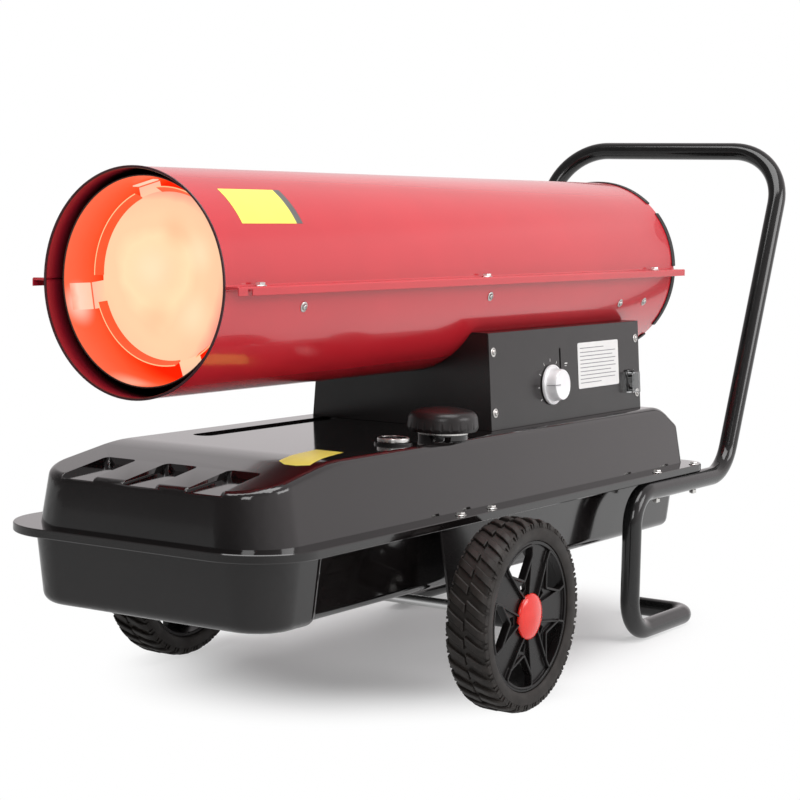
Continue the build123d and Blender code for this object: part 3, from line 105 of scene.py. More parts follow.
class HeaterSizes(PropertyGroup):
    lug_count: IntProperty(name="Tread lugs", description="Lugs round each tyre shoulder", default=34,
                           min=12, max=80)
    lug_height: length("Lug height", "How far the tread lugs stand out of the tyre's body", 0.0040)
    rib_count: IntProperty(name="Shoulder ribs", description="Fine ribs round each tyre shoulder", default=102,
                           min=20, max=160)
    edge_round: length("Edge rounding", "Rounding of folded sheet edges", 0.0004)
    rolled_edge: length("Rolled edge", "Radius of the barrel's rolled front edge", 0.0013)


class HeaterStage(PropertyGroup):
    lens: FloatProperty(name="Lens", description="Focal length in mm on a 36 mm sensor", default=93.64,
                        min=10, max=300)
    lamp_power: FloatProperty(name="Lamp power", description="Power that the soft lamps share out",
                              unit="POWER", default=60, min=0)
    surround: FloatProperty(name="Surround", description="Strength of the pale surround", default=1.0,
                            min=0, max=2)


# ---- materials ------------------------------------------------------------------------------------
# Distances along the barrel start a metre before a place, so that they can't turn back on themselves,
# and those across it leave the barrel's length out.
far_off = 1.0
along_barrel, across_barrel = (1, 1000, 1000), (1000, 1, 1)
chamber_mouth = -0.5495


def new_material(name):
    """A material with its nodes, links and main shader."""
    material = bpy.data.materials.new(name)
    material.use_nodes = True
    nodes = material.node_tree.nodes
    shader = nodes["Principled BSDF"]
    return material, nodes, material.node_tree.links, shader


def object_noise(nodes, links, scale, detail=3.0, roughness=0.55, stretch=None):
    """Noise that keeps to the piece, drawn out along it where a stretch is given."""
    place = nodes.new("ShaderNodeTexCoord")
    noise = nodes.new("ShaderNodeTexNoise")
    noise.inputs["Scale"].default_value = scale
    noise.inputs["Detail"].default_value = detail
    noise.inputs["Roughness"].default_value = roughness
    source = place.outputs["Object"]
    if stretch:
        mapping = nodes.new("ShaderNodeMapping")
        mapping.inputs["Scale"].default_value = stretch
        links.new(source, mapping.inputs["Vector"])
        source = mapping.outputs["Vector"]
    links.new(source, noise.inputs["Vector"])
    return noise


def ramp_between(nodes, links, source, low, high, low_at=0.3, high_at=0.7):
    """Colours from low to high along a source."""
    ramp = nodes.new("ShaderNodeValToRGB")
    ramp.color_ramp.elements[0].position = low_at
    ramp.color_ramp.elements[0].color = (*low, 1)
    ramp.color_ramp.elements[1].position = high_at
    ramp.color_ramp.elements[1].color = (*high, 1)
    links.new(source, ramp.inputs["Fac"])
    return ramp


def add_bump(nodes, links, shader, height, strength, distance):
    """Fine relief of a surface, from a height source."""
    bump = nodes.new("ShaderNodeBump")
    bump.inputs["Strength"].default_value = strength
    bump.inputs["Distance"].default_value = distance
    links.new(height, bump.inputs["Height"])
    links.new(bump.outputs["Normal"], shader.inputs["Normal"])


def mapped(nodes, links, value, low, high, to_low=0.0, to_high=1.0, smooth=True):
    """A value's range from low to high, laid over another one."""
    level = nodes.new("ShaderNodeMapRange")
    level.interpolation_type = "SMOOTHSTEP" if smooth else "LINEAR"
    for name, number in (("From Min", low), ("From Max", high), ("To Min", to_low), ("To Max", to_high)):
        level.inputs[name].default_value = number
    links.new(value, level.inputs["Value"])
    return level.outputs["Result"]


def worked_out(nodes, links, operation, first, second):
    """Sum, product or greater one of two values."""
    step = nodes.new("ShaderNodeMath")
    step.operation = operation
    links.new(first, step.inputs[0])
    links.new(second, step.inputs[1])
    return step.outputs["Value"]


def add_uneven_gloss(nodes, links, shader, rough, spread, scale, stretch=None):
    """Roughness that drifts by the spread to both sides."""
    wear = object_noise(nodes, links, scale, 5.0, stretch=stretch)
    haze = mapped(nodes, links, wear.outputs["Fac"], 0.3, 0.7, max(0.02, rough - spread), rough + spread, False)
    links.new(haze, shader.inputs["Roughness"])


def finish_material(name, base, rough, metal=0.0, spread=0.12, grain=60.0, peel=900.0, peel_depth=0.00002,
                    rough_spread=0.05, coat=0.0, specular=0.5, stretch=None):
    """A paint, plastic or metal: slow colour drift, uneven gloss and a fine surface texture."""
    material, nodes, links, shader = new_material(name)
    drift = object_noise(nodes, links, grain, stretch=stretch)
    low = tuple(max(0.0, c * (1 - spread)) for c in base)
    high = tuple(min(1.0, c * (1 + spread)) for c in base)
    tone = ramp_between(nodes, links, drift.outputs["Fac"], low, high)
    links.new(tone.outputs["Color"], shader.inputs["Base Color"])
    add_uneven_gloss(nodes, links, shader, rough, rough_spread, grain * 0.35, stretch)
    fine = object_noise(nodes, links, peel, 2.0, stretch=stretch)
    add_bump(nodes, links, shader, fine.outputs["Fac"], 0.25, peel_depth)
    shader.inputs["Metallic"].default_value = metal
    shader.inputs["Specular IOR Level"].default_value = specular
    shader.inputs["Coat Weight"].default_value = coat
    shader.inputs["Coat Roughness"].default_value = 0.03
    return material


def distance_from(nodes, links, source, centre, stretch=(1, 1, 1)):
    """Distance of a place from a centre, in units of the stretch."""
    offset = nodes.new("ShaderNodeMapping")
    offset.vector_type = "TEXTURE"
    offset.inputs["Location"].default_value = centre
    offset.inputs["Scale"].default_value = stretch
    links.new(source, offset.inputs["Vector"])
    reach = nodes.new("ShaderNodeVectorMath")
    reach.operation = "LENGTH"
    links.new(offset.outputs["Vector"], reach.inputs[0])
    return reach.outputs["Value"]


def colour_run(nodes, links, value, stops):
    """Colours along a value, from (value, colour) stops."""
    start, end = stops[0][0], stops[-1][0]
    level = mapped(nodes, links, value, start, end, smooth=False)
    ramp = ramp_between(nodes, links, level, stops[0][1], stops[-1][1], 0.0, 1.0)
    for at, colour_there in stops[1:-1]:
        ramp.color_ramp.elements.new((at - start) / (end - start)).color = (*colour_there, 1)
    return ramp.outputs["Color"]


def glowing_material(name, centre, stretch, stops, mottle=0.0, grain=16.0, spots=()):
    """Steel at heat: its own light runs through the stops with the distance from a centre.

    The spots are soft patches laid over that light, on the baffle painted highlights and shade: place, radius,
    colour and share."""
    material, nodes, links, shader = new_material(name)
    place = nodes.new("ShaderNodeTexCoord").outputs["Object"]
    patches = object_noise(nodes, links, grain, 3.0)
    drift = mapped(nodes, links, patches.outputs["Fac"], 0.3, 0.7, -mottle, mottle)
    uneven = worked_out(nodes, links, "ADD", distance_from(nodes, links, place, centre, stretch), drift)
    tone = colour_run(nodes, links, uneven, stops)
    for spot, size, pale, share in spots:
        near = mapped(nodes, links, distance_from(nodes, links, place, spot), 0.0, size, share, 0.0)
        mix = nodes.new("ShaderNodeMix")
        mix.data_type = "RGBA"
        links.new(near, mix.inputs[0])
        links.new(tone, mix.inputs[6])
        mix.inputs[7].default_value = (*pale, 1)
        tone = mix.outputs[2]
    links.new(tone, shader.inputs["Emission Color"])
    shader.inputs["Emission Strength"].default_value = 1.0
    shader.inputs["Base Color"].default_value = (0.05, 0.02, 0.015, 1)
    shader.inputs["Specular IOR Level"].default_value = 0.15
    scale = object_noise(nodes, links, 420.0, 3.0)
    add_bump(nodes, links, shader, scale.outputs["Fac"], 0.3, 0.00004)
    add_uneven_gloss(nodes, links, shader, 0.6, 0.12, 30.0)
    return material


def inner_paint_with_shade(name, near, far):
    """Dull red inside the barrel in painted shade: darker than the outside and fading to black towards the depth.
    """
    material, nodes, links, shader = new_material(name)
    place = nodes.new("ShaderNodeTexCoord").outputs["Object"]
    depth = distance_from(nodes, links, place, (barrel_front - far_off, 0, 0), along_barrel)
    shaded_deeper = colour_run(nodes, links, depth, [(far_off, near), (far_off + 0.030, far)])
    links.new(shaded_deeper, shader.inputs["Base Color"])
    add_uneven_gloss(nodes, links, shader, 0.45, 0.08, 25.0)
    shader.inputs["Specular IOR Level"].default_value = 0.25
    return material


def clear_material(name):
    """Clear plastic with faint scratches."""
    material, nodes, links, shader = new_material(name)
    shader.inputs["Base Color"].default_value = (0.95, 0.96, 0.96, 1)
    shader.inputs["Transmission Weight"].default_value = 1.0
    shader.inputs["IOR"].default_value = 1.3
    scratches = object_noise(nodes, links, 700.0, 2.0)
    add_bump(nodes, links, shader, scratches.outputs["Fac"], 0.1, 0.00001)
    add_uneven_gloss(nodes, links, shader, 0.06, 0.03, 90.0)
    return material


def hot_finishes():
    """The finishes of the chamber and the baffle, by their own light, with painted highlight and shade on the
    baffle.
    """
    paint = bpy.context.scene.heater_paint
    wall, disc = tuple(paint.wall_glow), tuple(paint.baffle_glow)
    deep_red, bright_red = (1.0, 0.013, 0.0), (1.0, 0.045, 0.006)
    salmon, rose = (0.98, 0.135, 0.058), (0.96, 0.34, 0.25)
    peach, pale_peach = (0.98, 0.66, 0.40), (0.985, 0.80, 0.52)
    mouth = (chamber_mouth - far_off, 0, 0)
    # The baffle's colours run from a centre shifted towards +Y, so that its -Y edge turns rose: painted shade.
    hub = barrel_axis + Vector((0, 0.013, 0.0055))
    foot = barrel_axis + Vector((-0.533, 0.0945, -0.024))
    low_patch = barrel_axis + Vector((-0.542, 0.022, -0.0965))
    wall_spots = [(foot, 0.026, (0.98, 0.62, 0.48), 1.0), (low_patch, 0.030, (0.98, 0.42, 0.28), 0.9)]
    # Pale patches on the disc are painted highlights; the deeper orange ones are painted shade.
    disc_highlights_and_shade = [(barrel_axis + Vector((-0.5135, y, 0.0055 + z)), radius, tone, share)
                  for y, z, radius, tone, share in ((0.024, 0.006, 0.030, (0.985, 0.82, 0.54), 0.8),
                                                    (-0.034, 0.022, 0.026, pale_peach, 0.7),
                                                    (-0.030, -0.036, 0.030, pale_peach, 0.7),
                                                    (-0.006, 0.042, 0.026, (0.97, 0.54, 0.31), 0.7),
                                                    (0.016, -0.040, 0.026, (0.97, 0.56, 0.33), 0.6))]
    return {
        "wall_glow": glowing_material("glowing_wall", mouth, along_barrel,
                                      [(1.0, salmon), (1.036, wall), (1.058, bright_red), (1.074, deep_red)],
                                      0.004, 12.0, wall_spots),
        # Baffle disc: the darker peach ring at the dish's border and the rose edge are painted shade on its glow.
        "baffle_glow": glowing_material("glowing_baffle", hub, across_barrel,
                                        [(0.0, peach), (0.036, disc), (0.050, peach), (0.060, peach),
                                         (0.081, (0.98, 0.62, 0.38)), (0.094, rose)], 0.010, 9.0, disc_highlights_and_shade),
        # Darker red glow: painted shade on the baffle rim's inner band and in the tabs' folds.
        "edge_shade_glow": glowing_material("glowing_edge_painted_shade", hub, across_barrel,
                                      [(0.070, (1.0, 0.09, 0.02)), (0.095, salmon)], 0.004, 30.0),
        # Pale line along the rim's front edge: painted highlight.
        "lip_highlight_glow": glowing_material("glowing_lip_painted_highlight", hub, across_barrel,
                                      [(0.070, (1.0, 0.66, 0.34)), (0.095, (1.0, 0.5, 0.24))], 0.004, 30.0),
        # Tab arms and feet: one steel in two tones by facing, the feet painted lighter than the arms.
        "tab_glow": glowing_material("glowing_tab", barrel_axis, across_barrel,
                                     [(0.080, (0.98, 0.64, 0.39)), (0.096, (0.96, 0.53, 0.37))], 0.003, 30.0),
        "foot_glow": glowing_material("glowing_foot", mouth, along_barrel,
                                      [(1.004, (0.98, 0.36, 0.24)), (1.016, (0.98, 0.68, 0.52)),
                                       (1.036, (0.98, 0.60, 0.42))], 0.003, 30.0),
    }


def make_finishes():
    """Every finish by its slot's or its own name."""
    paint = bpy.context.scene.heater_paint
    return {
        "barrel_red": finish_material("gloss_red_paint", paint.barrel_red, 0.20, spread=0.05, grain=7,
                                      coat=0.5),
        "tank_black": finish_material("gloss_black_paint", paint.tank_black, 0.10, spread=0.2, grain=9,
                                      coat=0.3, rough_spread=0.03),
        "housing_black": finish_material("satin_black_paint", paint.housing_black, 0.22, spread=0.2, grain=25,
                                         specular=0.48),
        "tube_black": finish_material("gloss_tube_paint", paint.tube_black, 0.13, spread=0.2, grain=20,
                                      coat=0.1, peel_depth=0.000005, rough_spread=0.02),
        "zinc_steel": finish_material("zinc_plated_steel", (0.66, 0.65, 0.63), 0.28, metal=1.0, grain=260),
        "cast_aluminium": finish_material("cast_aluminium", (0.60, 0.61, 0.62), 0.42, metal=1.0, grain=120,
                                          peel=420, peel_depth=0.0001),
        "motor_grey": finish_material("motor_grey_paint", (0.10, 0.105, 0.11), 0.45, grain=80),
        "polished_steel": finish_material("polished_steel", (0.80, 0.80, 0.80), 0.10, metal=1.0, spread=0.04,
                                          stretch=(1, 0.1, 1)),
        "brass": finish_material("drawn_brass", (0.70, 0.52, 0.24), 0.25, metal=1.0, grain=150),
        "black_plastic": finish_material("black_moulded_plastic", (0.014, 0.012, 0.012), 0.34, grain=45,
                                         peel=1500, peel_depth=0.00004, specular=0.4),
        "rim_plastic": finish_material("rim_plastic", (0.007, 0.006, 0.006), 0.28, grain=60, peel=1500,
                                       peel_depth=0.00003, specular=0.3),
        "grey_plastic": finish_material("grey_moulded_plastic", (0.30, 0.30, 0.31), 0.45, grain=60),
        "knob_silver": finish_material("silver_knob_paint", paint.knob_silver, 0.30, metal=0.15, spread=0.04),
        "clear_plastic": clear_material("clear_plastic"),
        "red_plastic": finish_material("red_cap_plastic", paint.cap_red, 0.18, spread=0.06, grain=30,
                                       coat=0.4),
        "ceramic_white": finish_material("white_ceramic", (0.82, 0.81, 0.76), 0.2, spread=0.05),
        "tyre_rubber": finish_material("tyre_rubber", (0.017, 0.014, 0.012), 0.55, spread=0.35, grain=90,
                                       peel=650, peel_depth=0.00012, rough_spread=0.12, specular=0.35),
        "seal_rubber": finish_material("black_rubber", (0.018, 0.018, 0.018), 0.55, spread=0.2, grain=90),
        "hot_steel": finish_material("heat_tinted_steel", (0.05, 0.035, 0.03), 0.5, metal=0.4, spread=0.3,
                                     grain=14),
        # Inside of the barrel: a darker red than the outside, turning black inwards, as painted shade.
        "inner_red": inner_paint_with_shade("inner_red_painted_shade", (0.36, 0.010, 0.028), (0.008, 0.003, 0.003)),
        # Near-black red of the barrel's rolled front edge: painted shade.
        "dark_rim": finish_material("dark_rim_painted_shade", (0.035, 0.004, 0.008), 0.35, grain=60),
        "sticker": finish_material("yellow_sticker", paint.sticker_yellow, 0.35, spread=0.03, grain=60),
        "sticker_band": finish_material("grey_sticker_band", (0.10, 0.10, 0.10), 0.4, spread=0.1, grain=60),
        "label": finish_material("white_label", (0.70, 0.70, 0.69), 0.38, spread=0.02, grain=60),
        "print": finish_material("grey_print", (0.16, 0.16, 0.17), 0.45, spread=0.1, grain=200),
        **hot_finishes(),
    }


finishes = {}


def finish_for(name):
    """The finish of a slot or of that name; all are made at the first call."""
    if not finishes:
        finishes.update(make_finishes())
    return finishes[name]


# ---- mesh helpers ---------------------------------------------------------------------------------
def joined(*shapes):
    """One mesh holding all the given ones, in the first."""
    whole = shapes[0]
    for shape in shapes[1:]:
        mesh = bpy.data.meshes.new("joined")
        shape.to_mesh(mesh)
        shape.free()
        whole.from_mesh(mesh)
        bpy.data.meshes.remove(mesh)
    return whole


def everything(bm):
    """All of a shape's points, edges and faces."""
    return bm.verts[:] + bm.edges[:] + bm.faces[:]


def made_points(made):
    """The new points in what an operator gives back."""
    return [item for item in made["geom"] if isinstance(item, bmesh.types.BMVert)]


def chain(points, closed=False):
    """A row of edges through the points."""
    bm = bmesh.new()
    verts = [bm.verts.new(point) for point in points]
    for one, other in zip(verts, verts[1:]):
        bm.edges.new((one, other))
    if closed:
        bm.edges.new((verts[-1], verts[0]))
    return bm


def settled(bm):
    """Merges doubles and turns the faces of a closed shape outwards."""
    bmesh.ops.remove_doubles(bm, verts=bm.verts, dist=0.00001)
    bmesh.ops.recalc_face_normals(bm, faces=bm.faces)
    return bm


def turned(points, centre, axis, out, steps=48, angle=360.0, closed=False):
    """Turns a profile of (along, radius) points about an axis through the centre."""
    centre = Vector(centre)
    bm = chain([centre + axis * along + out * radius for along, radius in points], closed)
    bmesh.ops.spin(bm, geom=bm.verts[:] + bm.edges[:], cent=centre, axis=axis, dvec=(0, 0, 0),
                   angle=math.radians(angle), steps=steps, use_merge=angle >= 360, use_duplicate=False)
    return settled(bm)


def hoop(along, radius, wire, centre=barrel_axis, axis=X, out=Z, steps=72, sides=8):
    """A round wire bent to a closed hoop."""
    turn = [math.tau * index / sides for index in range(sides)]
    profile = [(along + wire * math.cos(a), radius + wire * math.sin(a)) for a in turn]
    return turned(profile, centre, axis, out, steps, closed=True)


def drawn_out(bm, vector):
    """Draws a row of edges out along a vector, into a sheet."""
    made = bmesh.ops.extrude_edge_only(bm, edges=bm.edges[:])
    bmesh.ops.translate(bm, verts=made_points(made), vec=vector)
    return bm


def turned_outwards(bm, inside):
    """Turns the faces of an open sheet away from a point or, given as a function, a line."""
    facing = 0.0
    for face in bm.faces:
        centre = face.calc_center_median()
        facing += face.normal.dot(centre - inside(centre)) * face.calc_area()
    if facing < 0:
        bmesh.ops.reverse_faces(bm, faces=bm.faces)
    return bm


def bevelled(bm, edges, offset, segments):
    """Rounds the given edges of a shape."""
    bmesh.ops.bevel(bm, geom=edges, offset=offset, segments=segments, profile=0.5, affect="EDGES",
                    material=-1)
    return bm


def fold_bevel(bm, offset, segments=3, least=15.0):
    """Rounds the folds of a sheet that turn by more than the least angle."""
    folds = [edge for edge in bm.edges if len(edge.link_faces) == 2
             and edge.calc_face_angle(0) > math.radians(least)]
    return bevelled(bm, folds, offset, segments)


def ends_closed(bm):
    """Closes the open ends of a shape."""
    bmesh.ops.holes_fill(bm, edges=[edge for edge in bm.edges if edge.is_boundary])
    return bm


def rounded_box(low, high, radius=0.0, segments=2):
    """Box between two corners, its edges rounded where a radius is given."""
    low, high = Vector(low), Vector(high)
    bm = bmesh.new()
    bmesh.ops.create_cube(bm, size=1)
    bmesh.ops.scale(bm, vec=high - low, verts=bm.verts)
    bmesh.ops.translate(bm, vec=(low + high) / 2, verts=bm.verts)
    if radius:
        bevelled(bm, bm.edges[:], radius, segments)
    return bm


def swung(bm, degrees, axis, centre=(0, 0, 0)):
    """Turns a shape about the X, Y or Z axis through a centre."""
    turn = Matrix.Rotation(math.radians(degrees), 3, axis)
    bmesh.ops.rotate(bm, verts=bm.verts, cent=centre, matrix=turn)
    return bm


def moved(bm, vector):
    """Moves a shape."""
    bmesh.ops.translate(bm, verts=bm.verts, vec=vector)
    return bm


def standing(origin, direction):
    """Matrix that stands a shape drawn on Z along a direction."""
    return Matrix.Translation(origin) @ Vector(direction).to_track_quat("Z", "Y").to_matrix().to_4x4()


def placed(bm, matrix):
    """Puts a shape in its place by a matrix."""
    bmesh.ops.transform(bm, matrix=matrix, verts=bm.verts)
    return bm


def repeated(bm, centre, axis, count):
    """Copies the shape evenly round an axis."""
    bmesh.ops.spin(bm, geom=everything(bm), cent=centre, axis=axis, dvec=(0, 0, 0),
                   angle=math.tau * (count - 1) / count, steps=count - 1, use_merge=False, use_duplicate=True)
    return bm


def cut_opening(bm, matrix, half_x, half_y, reach=0.004):
    """Cuts a rectangular opening out of a sheet, seen along the matrix's Z."""
    across, up, out = matrix.to_3x3().col
    origin = matrix.translation
    for direction, half in ((across, half_x), (-across, half_x), (up, half_y), (-up, half_y)):
        bmesh.ops.bisect_plane(bm, geom=everything(bm), plane_co=origin + direction * half, plane_no=direction)
    inside = []
    for face in bm.faces:
        offset = face.calc_center_median() - origin
        if abs(offset.dot(across)) < half_x and abs(offset.dot(up)) < half_y and abs(offset.dot(out)) < reach:
            inside.append(face)
    bmesh.ops.delete(bm, geom=inside, context="FACES")
    return bm


def add_piece(name, bm, body, slot, nodes=(), finish=None, sharp=32.0):
    """Makes an object of the mesh, smooth with sharp folds, riding on its body in place of the CAD nodes.

    It wears its slot's own finish unless another one is named."""
    mesh = bpy.data.meshes.new(name)
    bm.to_mesh(mesh)
    bm.free()
    mesh.shade_smooth()
    mesh.set_sharp_from_angle(angle=math.radians(sharp))
    piece = bpy.data.objects.new(name, mesh)
    bpy.context.scene.collection.objects.link(piece)
    mesh.materials.append(finish_for(finish or slot))
    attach(piece, body)
    if nodes:
        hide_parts(*nodes)
    return piece


def add_sheet_thickness(piece, thickness=sheet, offset=-1):
    """Gives a sheet its wall, inwards unless the offset is 1."""
    wall = piece.modifiers.new("sheet thickness", "SOLIDIFY")
    wall.thickness = thickness
    wall.offset = offset
    wall.use_even_offset = offset < 0
    return wall


def add_even_shading(piece):
    """Shades flat faces flat, however narrow the roundings beside them."""
    weighted = piece.modifiers.new("even shading", "WEIGHTED_NORMAL")
    weighted.keep_sharp = True


def add_edge_round(piece, width, segments=2, angle=32.0):
    """Rounds the edges that turn by more than the angle."""
    edge = piece.modifiers.new("edge rounding", "BEVEL")
    edge.width = width
    edge.segments = segments
    edge.limit_method = "ANGLE"
    edge.angle_limit = math.radians(angle)
    edge.harden_normals = True
    edge.use_clamp_overlap = False


def merged_copy(node, flatten=0.4):
    """The CAD node's mesh with its loose triangles joined and its flat faces made whole."""
    bm = bmesh.new()
    bm.from_mesh(frame["nodes"][node].data)
    bmesh.ops.remove_doubles(bm, verts=bm.verts, dist=0.00002)
    if flatten:
        bmesh.ops.dissolve_limit(bm, angle_limit=math.radians(flatten), verts=bm.verts, edges=bm.edges)
    return bm


def dress(node, rounding=0.0, sharp=32.0, finish=None, flatten=0.4):
    """Stands a smooth, merged copy of a CAD node in its place."""
    piece = add_piece(f"{node}_dressed", merged_copy(node, flatten), body_of_node[node], slots[node], [node],
                      finish, sharp)
    if rounding:
        add_edge_round(piece, rounding)
    add_even_shading(piece)
    return piece


def solid_boxes(node):
    """Low and high corner of every separate solid in a CAD node."""
    bm = merged_copy(node)
    left = set(bm.verts)
    boxes = []
    while left:
        queue = [left.pop()]
        found = list(queue)
        while queue:
            for edge in queue.pop().link_edges:
                other = [vert for vert in edge.verts if vert in left]
                left.difference_update(other)
                queue += other
                found += other
        low = Vector([min(vert.co[i] for vert in found) for i in range(3)])
        high = Vector([max(vert.co[i] for vert in found) for i in range(3)])
        boxes.append((low, high))
    bm.free()
    return sorted(boxes, key=lambda box: tuple(box[0]))


class HeaterOperator:
    """What all the operators share."""
    bl_options = {"REGISTER", "UNDO"}


# ---- stage ----------------------------------------------------------------------------------------
camera_place = Vector((-2.0579, -1.2645, 0.5215))
camera_yaw, camera_pitch, camera_roll = math.radians(32.9), math.radians(-5.5), math.radians(1.1)
shadow_centre, shadow_half = (0.02, 0.03, 0), (0.47, 0.32, 1)
bright_direction = (0.84, -0.54, 0.12)
lamps = (("overhead_lamp", (-0.4, -0.2, 2.4), (0, 0, 0.3), (2.4, 1.4), 0.8),
         ("front_lamp", (-2.8, -1.6, 1.7), (0, 0, 0.35), (1.0, 1.4), 0.35),
         ("side_lamp", (0.8, -2.8, 1.5), (0, 0, 0.35), (1.6, 1.2), 0.45))


def soft_lamp(name, place, target, size, power):
    """A rectangular lamp that looks at a target."""
    lamp = bpy.data.lights.new(name, "AREA")
    lamp.shape = "RECTANGLE"
    lamp.size, lamp.size_y = size
    lamp.energy = power
    obj = bpy.data.objects.new(name, lamp)
    obj.location = place
    obj.rotation_euler = (Vector(target) - Vector(place)).to_track_quat("-Z", "Y").to_euler()
    bpy.context.scene.collection.objects.link(obj)


def any_ray(nodes, links, *rays):
    """1 for the named kinds of rays and 0 for all others."""
    path = nodes.new("ShaderNodeLightPath")
    result = path.outputs[rays[0]]
    for ray in rays[1:]:
        result = worked_out(nodes, links, "MAXIMUM", result, path.outputs[ray])
    return result


def lit_side(nodes, links, place, low, high):
    """Brightness that grows from the dim side before the outlet to the bright side of the controls."""
    along = nodes.new("ShaderNodeVectorMath")
    along.operation = "DOT_PRODUCT"
    along.inputs[1].default_value = bright_direction
    links.new(place, along.inputs[0])
    return mapped(nodes, links, along.outputs["Value"], -1.0, 1.0, low, high)


def either_shader(nodes, links, share, first, second):
    """Mixes two shaders, by the second one's share."""
    mix = nodes.new("ShaderNodeMixShader")
    links.new(share, mix.inputs["Fac"])
    links.new(first, mix.inputs[1])
    links.new(second, mix.inputs[2])
    return mix.outputs["Shader"]


class HEATER_OT_stage(HeaterOperator, Operator):
    """Adds the camera, the pale floor, the surround and the soft lamps"""
    bl_idname = "heater.stage"
    bl_label = "Stage"

    def execute(self, context):
        settings = context.scene.heater_stage
        self.add_camera(context, settings.lens)
        self.add_floor(context)
        self.add_surround(context, settings.surround)
        for name, place, target, size, share in lamps:
            soft_lamp(name, place, target, size, settings.lamp_power * share)
        context.scene.view_settings.view_transform = "Standard"
        return {"FINISHED"}

    def add_camera(self, context, lens):
        forward = Vector((math.cos(camera_pitch) * math.cos(camera_yaw),
                          math.cos(camera_pitch) * math.sin(camera_yaw), math.sin(camera_pitch)))
        right = Vector((math.sin(camera_yaw), -math.cos(camera_yaw), 0))
        up = right.cross(forward)
        tilted_right = right * math.cos(camera_roll) + up * math.sin(camera_roll)
        tilted_up = up * math.cos(camera_roll) - right * math.sin(camera_roll)
        turn = Matrix((tilted_right, tilted_up, -forward)).transposed().to_4x4()
        camera = bpy.data.cameras.new("photo_camera")
        camera.lens = lens
        camera.sensor_width = 36
        obj = bpy.data.objects.new("photo_camera", camera)
        obj.matrix_world = Matrix.Translation(camera_place) @ turn
        context.scene.collection.objects.link(obj)
        context.scene.camera = obj

    def add_floor(self, context):
        """Floor that keeps the heater's shadow and fades to white round it."""
        bm = bmesh.new()
        bmesh.ops.create_grid(bm, x_segments=2, y_segments=2, size=40)
        mesh = bpy.data.meshes.new("floor")
        bm.to_mesh(mesh)
        bm.free()
        floor = bpy.data.objects.new("floor", mesh)
        context.scene.collection.objects.link(floor)
        material, nodes, links, shader = new_material("pale_floor")
        shader.inputs["Base Color"].default_value = (0.90, 0.90, 0.90, 1)
        shader.inputs["Roughness"].default_value = 0.6
        place = nodes.new("ShaderNodeTexCoord").outputs["Object"]
        reach = distance_from(nodes, links, place, shadow_centre, shadow_half)
        fade = mapped(nodes, links, reach, 0.50, 1.02, 0.15, 1.0)
        looked_at = any_ray(nodes, links, "Is Camera Ray", "Is Glossy Ray", "Is Transmission Ray")
        share = worked_out(nodes, links, "MULTIPLY", fade, looked_at)
        white = nodes.new("ShaderNodeEmission")
        straight = any_ray(nodes, links, "Is Camera Ray", "Is Transmission Ray")
        level = worked_out(nodes, links, "MAXIMUM", straight, lit_side(nodes, links, place, 0.5, 1.0))
        links.new(level, white.inputs["Strength"])
        mix = either_shader(nodes, links, share, shader.outputs["BSDF"], white.outputs["Emission"])
        links.new(mix, nodes["Material Output"].inputs["Surface"])
        mesh.materials.append(material)

    def add_surround(self, context, strength):
        """White surround; what it lights and what gloss mirrors is dimmer towards the outlet and overhead."""
        world = bpy.data.worlds.new("pale_surround")
        context.scene.world = world
        world.use_nodes = True
        nodes, links = world.node_tree.nodes, world.node_tree.links
        nodes.clear()
        place = nodes.new("ShaderNodeTexCoord").outputs["Generated"]
        split = nodes.new("ShaderNodeSeparateXYZ")
        links.new(place, split.inputs["Vector"])
        overhead = mapped(nodes, links, split.outputs["Z"], 0.38, 0.48, 1.0, 0.78)
        lit = nodes.new("ShaderNodeBackground")
        lit.inputs["Color"].default_value = (1.0, 0.945, 0.955, 1)
        level = lit_side(nodes, links, place, strength * 0.16, strength)
        links.new(worked_out(nodes, links, "MULTIPLY", level, overhead), lit.inputs["Strength"])
        white = nodes.new("ShaderNodeBackground")
        white.inputs["Color"].default_value = (1, 1, 1, 1)
        straight = any_ray(nodes, links, "Is Camera Ray", "Is Transmission Ray")
        mix = either_shader(nodes, links, straight, lit.outputs["Background"], white.outputs["Background"])
        out = nodes.new("ShaderNodeOutputWorld")
        links.new(mix, out.inputs["Surface"])


# ---- barrel ---------------------------------------------------------------------------------------
lip_reach, lip_drop = 0.016, 0.007
lower_lip_reach = lip_reach - 0.0003


def barrel_line(point):
    """The place on the barrel's axis beside a point."""
    return Vector((point.x, 0, barrel_axis.z))


def half_pipe(side, lip):
    """Half of the barrel's outline in front, with a lip path at each side."""
    start = bmesh.new()
    dip = side * math.asin(sheet / barrel_radius)
    edge = Vector((barrel_front, barrel_radius * math.cos(dip), barrel_radius * math.sin(dip)))
    first = start.verts.new(barrel_axis + edge)
    bmesh.ops.spin(start, geom=[first], cent=barrel_axis, axis=X, dvec=(0, 0, 0),
                   angle=side * math.pi - 2 * dip, steps=60, use_merge=False, use_duplicate=False)
    lips = [chain([barrel_axis + Vector((barrel_front, hand * y, z)) for y, z in lip]) for hand in (-1, 1)]
    return settled(joined(start, *lips))


def half_shell(side, lip):
    """Half shell without its wall's thickness: the outline drawn out along the barrel."""
    bm = settled(drawn_out(half_pipe(side, lip), X * (barrel_rear - barrel_front)))
    turned_outwards(bm, barrel_line)
    return fold_bevel(bm, 0.0016, 3, 40)


def upper_shell():
    """Upper half, its lips turned down at their edges, with a notch in the lip of the control side."""
    reach = barrel_radius + lip_reach
    bm = half_shell(1, [(barrel_radius, sheet), (reach, sheet), (reach, -lip_drop)])
    notch = Matrix.Translation((barrel_front + 0.0175, -reach, barrel_axis.z - 0.004))
    return cut_opening(bm, notch @ Matrix.Rotation(math.pi / 2, 4, "X"), 0.0035, 0.0032)


